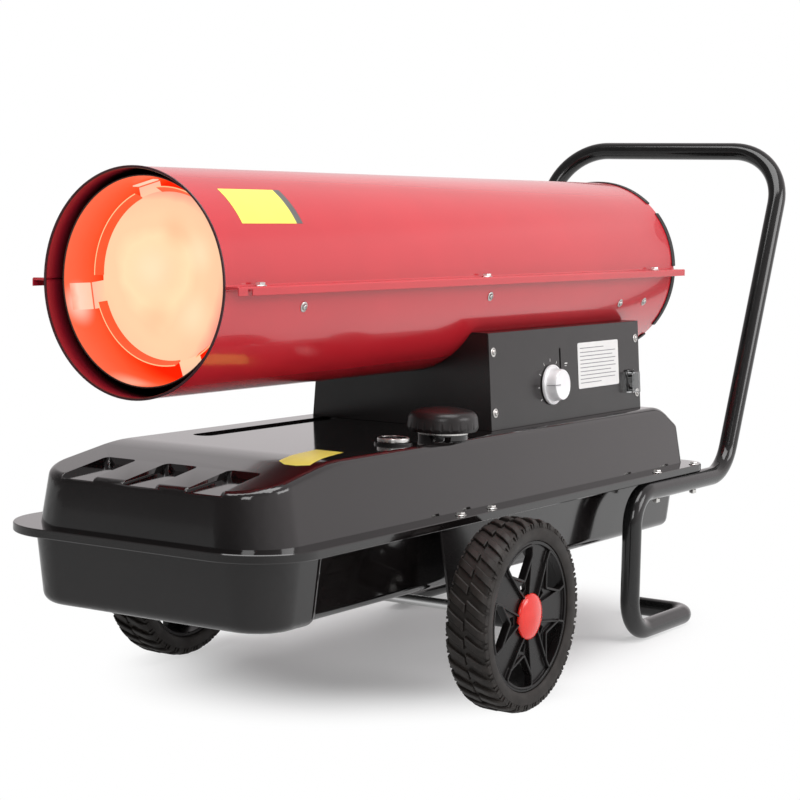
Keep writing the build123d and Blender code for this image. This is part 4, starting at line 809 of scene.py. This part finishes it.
def lower_shell():
    """Lower half with flat lips and the service hole over the housing."""
    bm = half_shell(-1, [(barrel_radius, -sheet), (barrel_radius + lower_lip_reach, -sheet)])
    hole = Matrix.Translation((0.0865, 0, barrel_axis.z - barrel_radius))
    return cut_opening(bm, hole, 0.045, 0.025)


def rolled_half_rim(side, wire):
    """Half of the barrel's rolled front edge."""
    turn = [math.tau * index / 8 for index in range(8)]
    middle_radius = barrel_radius - sheet / 2
    profile = [(barrel_front + wire * math.cos(a), middle_radius + wire * math.sin(a)) for a in turn]
    return ends_closed(turned(profile, barrel_axis, X, Y, 60, side * 180, closed=True))


class HEATER_OT_barrel(HeaterOperator, Operator):
    """Makes the two red half shells with their side lips and rolled front edge"""
    bl_idname = "heater.barrel"
    bl_label = "Barrel shells"

    def execute(self, context):
        wire = context.scene.heater_sizes.rolled_edge
        for node, side, make in (("barrel_upper_shell", 1, upper_shell), ("barrel_lower_shell", -1, lower_shell)):
            shell = add_piece(f"{node}_sheet", make(), "heater", "barrel_red", [node])
            # The shells' inner faces wear the red with painted shade.
            shell.data.materials.append(finish_for("inner_red"))
            add_sheet_thickness(shell).material_offset = 1
            add_edge_round(shell, 0.0003, 2, 50)
            add_even_shading(shell)
            # The rolled edge wears the near-black red of painted shade.
            add_piece(f"{node}_rim", rolled_half_rim(side, wire), "heater", "barrel_red", finish="dark_rim")
        return {"FINISHED"}


class HEATER_OT_stickers(HeaterOperator, Operator):
    """Adds the plain stickers on the barrel and the tank's nose"""
    bl_idname = "heater.stickers"
    bl_label = "Plain stickers"

    def execute(self, context):
        self.add_barrel_sticker("barrel_sticker", -0.520, -0.434, "sticker", 32, 55)
        self.add_barrel_sticker("barrel_sticker_band", -0.434, -0.424, "sticker_band", 32, 55)
        self.add_tank_sticker()
        return {"FINISHED"}

    def add_barrel_sticker(self, name, start, end, finish, low, high):
        """Sheet on the control side of the barrel, from a low to a high angle in degrees."""
        radius = barrel_radius + 0.00015
        bm = chain([barrel_axis + Vector((x, -radius, 0)) for x in (start, end)])
        swung(bm, -low, "X", barrel_axis)
        bmesh.ops.spin(bm, geom=bm.verts[:] + bm.edges[:], cent=barrel_axis, axis=X, dvec=(0, 0, 0),
                       angle=-math.radians(high - low), steps=16, use_merge=False, use_duplicate=False)
        turned_outwards(bm, barrel_line)
        add_piece(name, bm, "heater", "barrel_red", finish=finish)

    def add_tank_sticker(self):
        """Sheet laid down on the tank's nose, cut into squares that follow its curve."""
        outline = [(-0.452, -0.1247), (-0.369, -0.1066), (-0.368, -0.0724), (-0.448, -0.0852),
                   (-0.457, -0.098), (-0.4575, -0.1124)]
        bm = bmesh.new()
        bm.faces.new([bm.verts.new((x, y, 0.30)) for x, y in outline])
        for step in range(1, 12):
            for place, across in (((-0.483 + 0.01 * step, 0, 0), X), ((0, -0.146 + 0.0062 * step, 0), Y)):
                bmesh.ops.bisect_plane(bm, geom=everything(bm), plane_co=place, plane_no=across)
        tank = merged_copy("tank_upper", 0)
        below = BVHTree.FromBMesh(tank)
        for vert in bm.verts:
            vert.co.z = below.ray_cast(vert.co, -Z)[0].z + 0.00025
        tank.free()
        bmesh.ops.recalc_face_normals(bm, faces=bm.faces)
        if sum(face.normal.z for face in bm.faces) < 0:
            bmesh.ops.reverse_faces(bm, faces=bm.faces)
        add_piece("tank_sticker", bm, "heater", "tank_black", finish="sticker")


# ---- hot outlet -----------------------------------------------------------------------------------
tab_feet = {-10: 0.030, 75: 0.009, 170: 0.0185, 250: 0.0185}  # length of each tab's foot by its angle
tab_width = 0.026
tab_gap = 9  # degrees from a tab's middle to the rim
baffle_lift = Z * 0.0055
chamber_lift = Z * 0.0013


def baffle_tab(angle, foot):
    """A tab of the baffle: an arm on the disc's plane and a foot bent forward along the chamber's wall."""
    disc_x, wall, root = -0.5132, 0.0965, 0.0660
    path = [(disc_x - foot, wall), (disc_x, wall), (disc_x, root)]
    bm = drawn_out(chain([barrel_axis + Vector((x, y, -tab_width / 2)) for x, y in path]), Z * tab_width)
    fold_bevel(bm, 0.0010, 2)
    # Colour by which way each face looks: the arm, the folds in painted shade and the foot painted lighter are
    # tones of one glowing sheet.
    for face in bm.faces:
        flat = abs(face.normal.x)
        face.material_index = 0 if flat > 0.98 else 1 if flat > 0.02 else 2
    return swung(bm, angle, "X", barrel_axis)


class HEATER_OT_outlet(HeaterOperator, Operator):
    """Makes the glowing chamber, its straps and the flame baffle on four tabs"""
    bl_idname = "heater.outlet"
    bl_label = "Hot outlet"

    def execute(self, context):
        self.add_chamber()
        self.add_baffle()
        dress("chamber_supports", 0.0002)
        return {"FINISHED"}

    def add_chamber(self):
        """Turned shell, bright inside, with a dark rolled edge in front."""
        low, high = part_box("combustion_chamber")
        front, rear, r, t = low.x - 0.002, high.x, 0.1003, sheet
        centre = barrel_axis + chamber_lift
        cone, throat = rear - 0.045, 0.04405
        outer = [(front + 0.001, r), (front + 0.010, r), (cone, r), (rear, 0.054), (rear, throat)]
        inner = [(rear - t, throat), (rear - t, 0.053), (cone - t / 2, r - t), (front + 0.010, r - t),
                 (front + 0.001, r - t)]
        shell = turned(outer + inner, centre, X, Z, 96, closed=True)
        for face in shell.faces:
            place = face.calc_center_median()
            face.material_index = int(face.normal.dot(place - barrel_line(place)) < 0)
        piece = add_piece("chamber_shell", shell, "heater", "hot_steel", ["combustion_chamber"])
        piece.data.materials.append(finish_for("wall_glow"))
        rim = hoop(front + 0.0010, r - t / 2, 0.0008, centre, steps=96)
        add_piece("chamber_rolled_edge", rim, "heater", "hot_steel")

    def add_baffle(self):
        """Dished disc, its flared rim and the tabs that hold it."""
        disc, r, t, dish = -0.5135, 0.0815, 0.0015, 0.010
        centre = barrel_axis + baffle_lift
        pan = [(disc + dish, 0), (disc + dish, 0.011), (disc + dish - 0.0006, 0.014), (disc + 0.0010, 0.050),
               (disc, 0.0535), (disc, r - 0.001), (disc + 0.0004, r), (disc + t, r), (disc + t, 0.0530),
               (disc + t + dish, 0.013), (disc + t + dish, 0)]
        bm = turned(pan, centre, X, Z, 96)
        add_piece("baffle_disc", bm, "heater", "hot_steel", ["flame_baffle"], "baffle_glow", 60)
        self.add_baffle_rim(disc, r, centre)
        tabs = joined(*[baffle_tab(angle, foot) for angle, foot in tab_feet.items()])
        turned_outwards(tabs, lambda point: Vector((point.x + 0.05, 0, barrel_axis.z)))
        piece = add_piece("baffle_tabs", tabs, "heater", "hot_steel", finish="tab_glow", sharp=60)
        piece.data.materials.append(finish_for("edge_shade_glow"))
        piece.data.materials.append(finish_for("foot_glow"))
        add_sheet_thickness(piece, 0.0011, 1)
        add_edge_round(piece, 0.0003, 2, 50)

    def add_baffle_rim(self, disc, r, centre):
        """The pan's flared rim, cut away at the four tabs."""
        profile = [(disc + 0.0003, r - 0.0012), (disc - 0.0085, r + 0.0030), (disc - 0.0089, r + 0.0035),
                   (disc - 0.0085, r + 0.0041), (disc + 0.0006, r + 0.0001)]
        angles = list(tab_feet)
        arcs = []
        for angle, following in zip(angles, (*angles[1:], angles[0] + 360)):
            start = Matrix.Rotation(math.radians(angle + tab_gap), 3, "X") @ Y
            arc = turned(profile, centre, X, start, 24, following - angle - 2 * tab_gap, closed=True)
            arcs.append(ends_closed(arc))
        rim = settled(joined(*arcs))
        # The rim's front-most faces take the painted highlight, the others the painted shade.
        for face in rim.faces:
            face.material_index = int(face.calc_center_median().x < disc - 0.0083)
        piece = add_piece("baffle_rim", rim, "heater", "hot_steel", finish="edge_shade_glow", sharp=60)
        piece.data.materials.append(finish_for("lip_highlight_glow"))


# ---- burner, blower and pump ----------------------------------------------------------------------
class HEATER_OT_blower(HeaterOperator, Operator):
    """Dresses the burner, fan, motor, air pump and their lines inside the barrel"""
    bl_idname = "heater.blower"
    bl_label = "Burner and blower"

    def execute(self, context):
        for node in ("burner_head", "fuel_nozzle", "igniter_electrodes", "photocell", "motor_shaft",
                     "pump_rotor", "pump_vanes", "fuel_line", "air_line"):
            dress(node)
        for node in ("motor_bracket", "pump_body", "pump_cover"):
            dress(node, 0.0005)
        dress("motor_housing", 0.0008)
        self.add_fan()
        return {"FINISHED"}

    def add_fan(self):
        """The blades as they are, with a turned hub cap round their middle."""
        profile = [(0, 0), (0, 0.0155), (0.0012, 0.0182), (0.0036, 0.0203), (0.0060, 0.021), (0.0250, 0.021),
                   (0.0260, 0.0202), (0.0260, 0.0075), (0.0250, 0.0065), (0.0250, 0.0052), (0.0050, 0.0052),
                   (0.0050, 0)]
        hub = turned(profile, (0.1605, 0, barrel_axis.z), X, Z, 48)
        add_piece("fan_hub", hub, "fan_rotor", "cast_aluminium")
        dress("fan", 0.0003, 40)


class HEATER_OT_guard(HeaterOperator, Operator):
    """Makes the round wire grille of the air inlet and dresses its clips and the rim's edging"""
    bl_idname = "heater.guard"
    bl_label = "Rear guard"

    def execute(self, context):
        wire, hoops, spokes, feet = 0.0016, 5, 8, 4
        guard_x = barrel_rear + 0.004
        reach = barrel_radius - 2 * sheet - wire
        shapes = [hoop(guard_x, reach * (index + 1) / hoops, wire, steps=96) for index in range(hoops)]
        spoke = bmesh.new()
        start, end = barrel_axis + Vector((guard_x, 0, 0.006)), barrel_axis + Vector((guard_x, 0, reach))
        bmesh.ops.create_cone(spoke, cap_ends=True, segments=8, radius1=wire * 0.95, radius2=wire * 0.95,
                              depth=(end - start).length, matrix=Matrix.Translation((start + end) / 2))
        shapes.append(repeated(swung(spoke, 180 / spokes, "X", barrel_axis), barrel_axis, X, spokes))
        foot_low, foot_high = (barrel_rear - 0.016, reach - 0.0012, -wire), (guard_x, reach + 0.0012, wire)
        foot = rounded_box(foot_low, foot_high, 0.0006)
        swung(moved(foot, barrel_axis), 180 / feet, "X", barrel_axis)
        shapes.append(repeated(foot, barrel_axis, X, feet))
        disc = [(-wire, 0), (-wire, 0.0084), (-wire + 0.0006, 0.009), (wire - 0.0006, 0.009), (wire, 0.0084),
                (wire, 0)]
        shapes.append(turned(disc, barrel_axis + X * guard_x, X, Z, 32))
        add_piece("guard_wires", joined(*shapes), "heater", "tube_black", ["rear_guard"])
        dress("guard_clips", 0.0002)
        dress("rim_trim", 0.0008, 40)
        return {"FINISHED"}


# ---- housing and controls -------------------------------------------------------------------------
housing_low_half, housing_top_half, housing_rise = 0.120, 0.1125, 0.106
housing_lean = math.atan2(housing_low_half - housing_top_half, housing_rise)
knob_place, slot_place = (0.137, 0.0425), (0.1605, 0.071)
switch_place, label_place = (0.335, 0.033), (0.255, 0.060)


def panel_place(along, up, out=0.0, side=-1):
    """Matrix on a side panel's outer face: X along it, Y up it and Z out of it."""
    sin, cos = math.sin(housing_lean), math.cos(housing_lean)
    normal = Vector((0, side * cos, sin))
    rise = Vector((0, -side * sin, cos))
    run = rise.cross(normal)
    origin = Vector((housing_low.x + along, side * (housing_low_half - up * sin + out * cos),
                     housing_low.z + up * cos + out * sin))
    return Matrix.Translation(origin) @ Matrix((run, rise, normal)).transposed().to_4x4()


def bent_cover(side, openings=()):
    """Side cover of the housing: its face with a return along the top to the barrel."""
    low_z, top_z = housing_low.z, housing_low.z + housing_rise + sheet
    touch_y = math.sqrt((barrel_radius + 0.0003) ** 2 - (barrel_axis.z - top_z) ** 2)
    path = [(housing_low_half, low_z), (housing_top_half, top_z), (touch_y, top_z)]
    bm = chain([(housing_low.x, side * y, z) for y, z in path])
    drawn_out(bm, X * (housing_high.x - housing_low.x))
    turned_outwards(bm, lambda point: Vector((point.x, 0, 0.32)))
    fold_bevel(bm, 0.0014)
    for along, up, half_x, half_y in openings:
        cut_opening(bm, panel_place(along, up, 0, side), half_x, half_y)
    return bm


class HEATER_OT_housing(HeaterOperator, Operator):
    """Makes the control panel and side cover, and dresses the frame and what sits behind them"""
    bl_idname = "heater.housing"
    bl_label = "Housing"

    def execute(self, context):
        openings = ((*knob_place, 0.0045, 0.0045), (*slot_place, 0.0016, 0.0125),
                    (*switch_place, 0.0065, 0.010))
        for node, side, holes in (("control_panel", -1, openings), ("side_cover", 1, ())):
            piece = add_piece(f"{node}_sheet", bent_cover(side, holes), "heater", "housing_black", [node])
            add_sheet_thickness(piece)
            add_edge_round(piece, 0.0003, 2, 50)
            add_even_shading(piece)
        dress("housing_frame", 0.0003, 15)
        for node in ("thermostat_body", "ignition_transformer", "cord_gland"):
            dress(node, 0.0006)
        self.add_label()
        self.add_marks()
        return {"FINISHED"}

    def add_label(self):
        """Plain plate with round corners and ruled lines."""
        plate = rounded_box((-0.0515, -0.027, 0), (0.0515, 0.027, 0.0004))
        corners = [edge for edge in plate.edges if abs((edge.verts[0].co - edge.verts[1].co).z) > 0.0002]
        bevelled(plate, corners, 0.0025, 4)
        place = panel_place(*label_place)
        add_piece("plain_label", placed(plate, place), "heater", "housing_black", finish="label")
        runs = (0.052, 0.088, 0.090, 0.078, 0.090, 0.086, 0.090, 0.082, 0.090)
        rows = [(-0.0210 + 0.0045 * index, run) for index, run in enumerate(runs)] + [(0.0200, 0.060)]
        lines = [rounded_box((-0.046, y, 0.0004), (-0.046 + run, y + 0.0009, 0.00045)) for y, run in rows]
        add_piece("label_lines", placed(joined(*lines), place), "heater", "housing_black", finish="print")

    def add_marks(self):
        """Small plain marks round the knob for its settings."""
        marks = []
        for index in range(9):
            tick = rounded_box((0.0265, -0.0003, 0), (0.0300, 0.0003, 0.00012))
            marks.append(swung(tick, 215 - 31 * index, "Z"))
        marks.append(rounded_box((0.034, 0.022, 0), (0.0405, 0.0232, 0.00012)))
        marks.append(rounded_box((0.034, 0.0195, 0), (0.0385, 0.0202, 0.00012)))
        place = panel_place(*knob_place)
        add_piece("knob_marks", placed(joined(*marks), place), "heater", "housing_black", finish="label")


class HEATER_OT_controls(HeaterOperator, Operator):
    """Makes the thermostat knob and dresses the covered switch"""
    bl_idname = "heater.controls"
    bl_label = "Knob and switch"

    def execute(self, context):
        self.add_knob()
        dress("switch_body", 0.0003)
        dress("switch_rocker", 0.0004)
        dress("switch_cover", 0.0004)
        return {"FINISHED"}

    def add_knob(self):
        """Turned drum on a round skirt, with a thin pointer over its side and face."""
        place = panel_place(*knob_place, 0.0006)
        profile = [(0.0012, 0.0034), (0.0, 0.0034), (0.0, 0.0222), (0.0006, 0.0229), (0.0024, 0.0230),
                   (0.0034, 0.0224), (0.0036, 0.0212), (0.0030, 0.0204), (0.0030, 0.0198), (0.0040, 0.0192),
                   (0.0090, 0.0182), (0.0145, 0.0175), (0.0153, 0.0171), (0.0155, 0.0163), (0.0151, 0.0156),
                   (0.0149, 0.0148), (0.0149, 0.0)]
        drum = turned(profile, (0, 0, 0), Z, X, 72)
        add_piece("knob_drum", placed(drum, place), "knob", "knob_silver", ["thermostat_knob"], sharp=45)
        side_line = rounded_box((-0.0191, -0.00035, 0.0042), (-0.0172, 0.00035, 0.0152))
        face_line = rounded_box((-0.0171, -0.00045, 0.0146), (-0.0060, 0.00045, 0.0157), 0.0001, 1)
        pointer = placed(joined(side_line, face_line), place)
        add_piece("knob_pointer", pointer, "knob", "knob_silver", finish="print")


# ---- fasteners ------------------------------------------------------------------------------------
def pan_head(head=0.0032, washer=0.0052):
    """Cross recessed screw head on a loose washer, standing on Z."""
    cross_turn = 20
    cross = bmesh.new()
    bmesh.ops.create_grid(cross, x_segments=3, y_segments=3, size=head * 0.52)
    reach = head * 0.15
    arms = [face for face in cross.faces if min(abs(c) for c in face.calc_center_median()[:2]) < reach]
    moved(swung(cross, cross_turn, "Z"), (0, 0, 0.0026))
    rim = [edge for edge in cross.edges if edge.is_boundary]
    sunk = bmesh.ops.extrude_face_region(cross, geom=arms)
    bmesh.ops.translate(cross, verts=made_points(sunk), vec=(0, 0, -0.0011))
    bmesh.ops.delete(cross, geom=arms, context="FACES_ONLY")
    level = Matrix.Translation((0, 0, 0.0023)) @ Matrix.Rotation(math.radians(35), 4, "Z")
    made = bmesh.ops.create_circle(cross, segments=12, radius=head * 0.84, matrix=level)["verts"]
    circle = [edge for edge in cross.edges if all(vert in made for vert in edge.verts)]
    bmesh.ops.bridge_loops(cross, edges=rim + circle)
    for grow, drop in ((1.16, 0.0008), (1.03, 0.0015)):
        made = bmesh.ops.extrude_edge_only(cross, edges=circle)
        lower = made_points(made)
        circle = [item for item in made["geom"] if isinstance(item, bmesh.types.BMEdge)
                  and all(vert in lower for vert in item.verts)]
        bmesh.ops.scale(cross, vec=(grow, grow, 1), verts=lower)
        bmesh.ops.translate(cross, verts=lower, vec=(0, 0, -drop))
    bmesh.ops.recalc_face_normals(cross, faces=cross.faces)
    plate = turned([(0, 0), (0, washer), (0.0006, washer), (0.0009, washer - 0.0004),
                    (0.0009, washer - 0.0011), (0.0004, washer - 0.0014), (0.0004, 0)], (0, 0, 0), Z, X, 20)
    return joined(cross, plate)


def hexagon(height):
    """Hexagonal head or nut with its corners rounded off, standing on Z."""
    radius = 0.0048
    bm = bmesh.new()
    bmesh.ops.create_cone(bm, cap_ends=True, segments=6, radius1=radius, radius2=radius, depth=height,
                          matrix=Matrix.Translation((0, 0, height / 2)))
    top = [edge for edge in bm.edges if all(vert.co.z > height * 0.9 for vert in edge.verts)]
    return bevelled(bm, top, radius * 0.09, 2)


class HEATER_OT_fasteners(HeaterOperator, Operator):
    """Makes the screws, bolts and nuts at the places of their solids"""
    bl_idname = "heater.fasteners"
    bl_label = "Fasteners"

    def execute(self, context):
        self.add_sheet_screws()
        self.add_bolts("lip_screws")
        self.add_bolts("flange_bolts")
        self.add_nuts()
        return {"FINISHED"}

    def add_sheet_screws(self):
        """A head at each screw, seated on the barrel or on the housing's leaning side."""
        screws = []
        for low, high in solid_boxes("sheet_screws"):
            centre = (low + high) / 2
            if centre.z > barrel_axis.z - 0.06:
                out = (centre - barrel_line(centre)).normalized()
                base = barrel_line(centre) + out * barrel_radius
            else:
                side = 1 if centre.y > 0 else -1
                flat = panel_place(0, 0, 0, side)
                out = flat.to_3x3().col[2]
                base = centre - out * (centre - flat.translation).dot(out)
            screws.append(placed(pan_head(), standing(base, out)))
        add_piece("screw_heads", joined(*screws), "heater", "zinc_steel", ["sheet_screws"], sharp=40)

    def add_bolts(self, node):
        """A head, with the shank below it, on a thin washer at each solid of the node."""
        washer = [(0, 0), (0, 0.0058), (0.0005, 0.0060), (0.0009, 0.0056), (0.0009, 0)]
        shapes = []
        for low, high in solid_boxes(node):
            x, y = (low.x + high.x) / 2, (low.y + high.y) / 2
            seat = high.z - 0.0035
            shank = [(0, 0), (0, 0.0020), (0.0004, 0.0025), (seat - low.z, 0.0025), (seat - low.z, 0)]
            shapes.append(moved(hexagon(0.0027), (x, y, seat + 0.0008)))
            shapes.append(turned(washer, (x, y, seat), Z, X, 20))
            shapes.append(turned(shank, (x, y, low.z), Z, X, 12))
        add_piece(f"{node}_heads", joined(*shapes), "heater", "zinc_steel", [node], sharp=35)

    def add_nuts(self):
        """Nuts that seat upwards, their rounded corners below."""
        nuts = []
        for low, high in solid_boxes("hex_nuts"):
            centre = (low + high) / 2
            nut = swung(hexagon(high.z - low.z), 180, "X")
            nuts.append(moved(nut, (centre.x, centre.y, high.z)))
        add_piece("nuts", joined(*nuts), "heater", "zinc_steel", ["hex_nuts"], sharp=35)


# ---- tank -----------------------------------------------------------------------------------------
class HEATER_OT_tank(HeaterOperator, Operator):
    """Dresses the two pressed halves of the fuel tank"""
    bl_idname = "heater.tank"
    bl_label = "Fuel tank"

    def execute(self, context):
        for node in ("tank_upper", "tank_lower"):
            dress(node, 0, 24, flatten=0.05)
        dress("drain_plug", 0.0005)
        return {"FINISHED"}


class HEATER_OT_filler(HeaterOperator, Operator):
    """Dresses the filler neck, strainer, gasket and grooved cap"""
    bl_idname = "heater.filler"
    bl_label = "Filler"

    def execute(self, context):
        for node in ("filler_neck", "filler_strainer", "cap_gasket"):
            dress(node, 0.0003)
        dress("filler_cap", 0.0006, 40)
        return {"FINISHED"}


class HEATER_OT_gauge(HeaterOperator, Operator):
    """Makes the fuel gauge's bright bezel, dial, needle and float"""
    bl_idname = "heater.gauge"
    bl_label = "Fuel gauge"

    def execute(self, context):
        centre = middle("gauge_lens")
        centre.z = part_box("gauge_lens")[1].z - 0.0045
        for node in ("gauge_body", "float_arm", "float_ball", "gauge_needle"):
            dress(node, 0.0002)
        dress("gauge_lens")
        bezel = [(0.0008, 0.0166), (0.0036, 0.0169), (0.0046, 0.0166), (0.0048, 0.0160), (0.0046, 0.0152),
                 (0.0040, 0.0150), (0.0040, 0.0158), (0.0030, 0.0160), (0.0008, 0.0160)]
        add_piece("gauge_bezel", turned(bezel, centre, Z, X, 48, closed=True), "heater", "zinc_steel")
        dial_low, dial_top, print_top = 0.00102, 0.00112, 0.0012
        dial = turned([(dial_low, 0), (dial_low, 0.0148), (dial_top, 0.0148), (dial_top, 0)], centre, Z, X, 48)
        add_piece("gauge_dial", dial, "heater", "ceramic_white", finish="label")
        ticks = []
        for index in range(9):
            tick = rounded_box((0.0105, -0.00035, dial_top), (0.0138, 0.00035, print_top))
            ticks.append(swung(tick, 100 + 20 * index, "Z"))
        add_piece("gauge_ticks", moved(joined(*ticks), centre), "heater", "black_plastic", finish="print")
        band = [(dial_top, 0.0078), (dial_top, 0.0098), (print_top, 0.0098), (print_top, 0.0078)]
        add_piece("gauge_low_band", turned(band, centre, Z, X, 12, 60, closed=True), "heater", "red_plastic")
        return {"FINISHED"}


# ---- wheels, axle and brackets --------------------------------------------------------------------
wheel_hand = {-1: "near", 1: "far"}
tyre_half = 0.0235
lug_run, lug_width = 0.0222, 0.0086
lug_slant = 0.62  # sideways shift for each unit outwards
shoulder_fall = 47.6  # how fast the tread falls off over the shoulder, per metre


def tread_lug(height):
    """Slanted lug on the top of the tyre that bends down over the shoulder."""
    root = 0.002
    lug = bmesh.new()
    bmesh.ops.create_cube(lug, size=1)
    bmesh.ops.scale(lug, vec=(lug_width, lug_run, height + root), verts=lug.verts)
    across = [edge for edge in lug.edges if abs(edge.verts[0].co.y - edge.verts[1].co.y) > 0.01]
    bmesh.ops.subdivide_edges(lug, edges=across, cuts=4, use_grid_fill=True)
    crown = [edge for edge in lug.edges if edge.calc_face_angle(0) > 0.5
             and min(vert.co.z for vert in edge.verts) > 0]
    bevelled(lug, crown, 0.0009, 1)
    for vert in lug.verts:
        outward = vert.co.y + lug_run / 2
        vert.co.x += (outward - 0.011) * lug_slant
        vert.co.z += 0.0999 - (height + root) / 2 - shoulder_fall * max(0.0, outward - 0.0125) ** 2
        vert.co.y = outward + 0.0008
    return lug


def shoulder_rib():
    """Fine rib on the tyre's shoulder, leaning inwards at its top."""
    rib = rounded_box((-0.0011, 0.0212, 0.0915), (0.0011, 0.0234, 0.0962))
    for vert in rib.verts:
        if vert.co.z > 0.095:
            vert.co.y -= 0.0008
    return rib


def wheel_tyre(side, sizes):
    """Treaded tyre: a turned body with slanted lugs and fine ribs on both shoulders."""
    node = f"tyre_{wheel_hand[side]}"
    centre = middle(node)
    half = [(0.0205, 0.0782), (0.0219, 0.0795), (0.0228, 0.0820), (0.0233, 0.0850), (tyre_half, 0.0880),
            (0.0233, 0.0905), (0.0226, 0.0912), (0.0222, 0.0925), (0.0210, 0.0945), (0.0190, 0.0957),
            (0.0120, 0.0962), (0.0, 0.0964)]
    profile = half + [(-along, radius) for along, radius in half[-2::-1]]
    body = turned(profile, centre, Y, Z, 96, closed=True)
    near_row = repeated(tread_lug(sizes.lug_height), (0, 0, 0), Y, sizes.lug_count)
    far_row = swung(swung(near_row.copy(), 180, "Z"), 180 / sizes.lug_count, "Y")
    ribs = repeated(shoulder_rib(), (0, 0, 0), Y, sizes.rib_count)
    tread = joined(near_row, far_row, ribs, swung(ribs.copy(), 180, "Z"))
    treaded = joined(body, moved(tread, centre))
    piece = add_piece(f"{node}_treaded", treaded, body_of_node[node], "tyre_rubber", [node], sharp=35)
    add_even_shading(piece)


def wheel_rim(side):
    """Spoked rim with ribs that run from the hub to the corners of its windows."""
    node = f"rim_{wheel_hand[side]}"
    window_count, window_turn, face_y = 5, 38, 0.245
    dress(node, 0.0007, 40, "rim_plastic")
    start, end = Vector((0.0226, 0.0046, 0)), Vector((0.0605, 0.0232, 0))
    run = end - start
    slant = math.degrees(math.atan2(run.y, run.x))
    ribs = []
    for hand in (-1, 1):
        rib = rounded_box((0, -0.0011, -0.0085), (run.length, 0.0011, -0.0034), 0.0005, 1)
        ribs.append(moved(swung(rib, hand * slant, "Z"), (start.x, hand * start.y, 0)))
    star = repeated(swung(joined(*ribs), window_turn, "Z"), (0, 0, 0), Z, window_count)
    hub = middle(node)
    place = Matrix.Translation((hub.x, side * face_y, hub.z)) @ Matrix.Rotation(-side * math.pi / 2, 4, "X")
    add_piece(f"{node}_ribs", placed(star, place), body_of_node[node], slots[node], finish="rim_plastic",
              sharp=40)


def wheel_cap(side):
    """Domed red cap on the hub."""
    node = f"hub_cap_{wheel_hand[side]}"
    low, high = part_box(node)
    hub = (low + high) / 2
    profile = [(-0.0093, 0), (-0.0093, 0.0226), (-0.0084, 0.0237), (-0.0068, 0.0240), (-0.0056, 0.0236),
               (-0.0042, 0.0214), (-0.0028, 0.0175), (-0.0017, 0.0133), (-0.0009, 0.0093), (-0.0004, 0.0050),
               (0, 0.0012), (0, 0)]
    bm = turned(profile, (hub.x, high.y if side > 0 else low.y, hub.z), Y * side, Z, 64)
    add_piece(f"{node}_dome", bm, body_of_node[node], "red_plastic", [node], sharp=50)


class HEATER_OT_wheels(HeaterOperator, Operator):
    """Makes both treaded wheels with their spoked rims and domed caps"""
    bl_idname = "heater.wheels"
    bl_label = "Wheels"

    def execute(self, context):
        for side in (-1, 1):
            wheel_tyre(side, context.scene.heater_sizes)
            wheel_rim(side)
            wheel_cap(side)
        return {"FINISHED"}


class HEATER_OT_axle(HeaterOperator, Operator):
    """Makes the polished axle and dresses its brackets, washers and pins"""
    bl_idname = "heater.axle"
    bl_label = "Axle and brackets"

    def execute(self, context):
        reach, radius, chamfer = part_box("axle")[1].y, 0.0055, 0.001
        profile = [(reach, 0), (reach, radius - chamfer), (reach - chamfer, radius), (chamfer - reach, radius),
                   (-reach, radius - chamfer), (-reach, 0)]
        bar = turned(profile, middle("axle"), Y, Z, 32)
        add_piece("axle_bar", bar, "heater", "polished_steel", ["axle"])
        dress("wheel_washers", 0.0003)
        dress("cotter_pins", 0.0002)
        dress("wheel_brackets", 0.0005)
        return {"FINISHED"}


class HEATER_OT_handle(HeaterOperator, Operator):
    """Dresses the bent tube of handle and legs with its foot plugs"""
    bl_idname = "heater.handle"
    bl_label = "Handle and legs"

    def execute(self, context):
        dress("handle_frame", 0, 40, flatten=0)
        dress("foot_plugs", 0.0005)
        return {"FINISHED"}


class HEATER_PT_panel(Panel):
    bl_idname = "HEATER_PT_panel"
    bl_label = "Forced Air Heater"
    bl_space_type = "VIEW_3D"
    bl_region_type = "UI"
    bl_category = "Heater"

    def draw(self, context):
        for group in (context.scene.heater_paint, context.scene.heater_sizes, context.scene.heater_stage):
            box = self.layout.box()
            for name in group.__annotations__:
                box.prop(group, name)
        for step in steps:
            self.layout.operator(step.bl_idname)


groups = (HeaterPaint, HeaterSizes, HeaterStage)
steps = (HEATER_OT_stage, HEATER_OT_barrel, HEATER_OT_stickers, HEATER_OT_outlet, HEATER_OT_blower,
         HEATER_OT_guard, HEATER_OT_housing, HEATER_OT_controls, HEATER_OT_fasteners, HEATER_OT_tank,
         HEATER_OT_filler, HEATER_OT_gauge, HEATER_OT_wheels, HEATER_OT_axle, HEATER_OT_handle)
classes = (*groups, *steps, HEATER_PT_panel)


def register():
    for item in classes:
        bpy.utils.register_class(item)
    bpy.types.Scene.heater_paint = PointerProperty(type=HeaterPaint)
    bpy.types.Scene.heater_sizes = PointerProperty(type=HeaterSizes)
    bpy.types.Scene.heater_stage = PointerProperty(type=HeaterStage)


def unregister():
    del bpy.types.Scene.heater_paint
    del bpy.types.Scene.heater_sizes
    del bpy.types.Scene.heater_stage
    for item in reversed(classes):
        bpy.utils.unregister_class(item)


def main():
    """Makes the stage and every piece."""
    register()
    bpy.ops.heater.stage()
    bpy.ops.heater.barrel()
    bpy.ops.heater.stickers()
    bpy.ops.heater.outlet()
    bpy.ops.heater.blower()
    bpy.ops.heater.guard()
    bpy.ops.heater.housing()
    bpy.ops.heater.controls()
    bpy.ops.heater.fasteners()
    bpy.ops.heater.tank()
    bpy.ops.heater.filler()
    bpy.ops.heater.gauge()
    bpy.ops.heater.wheels()
    bpy.ops.heater.axle()
    bpy.ops.heater.handle()


if __name__ == "__main__":
    main()
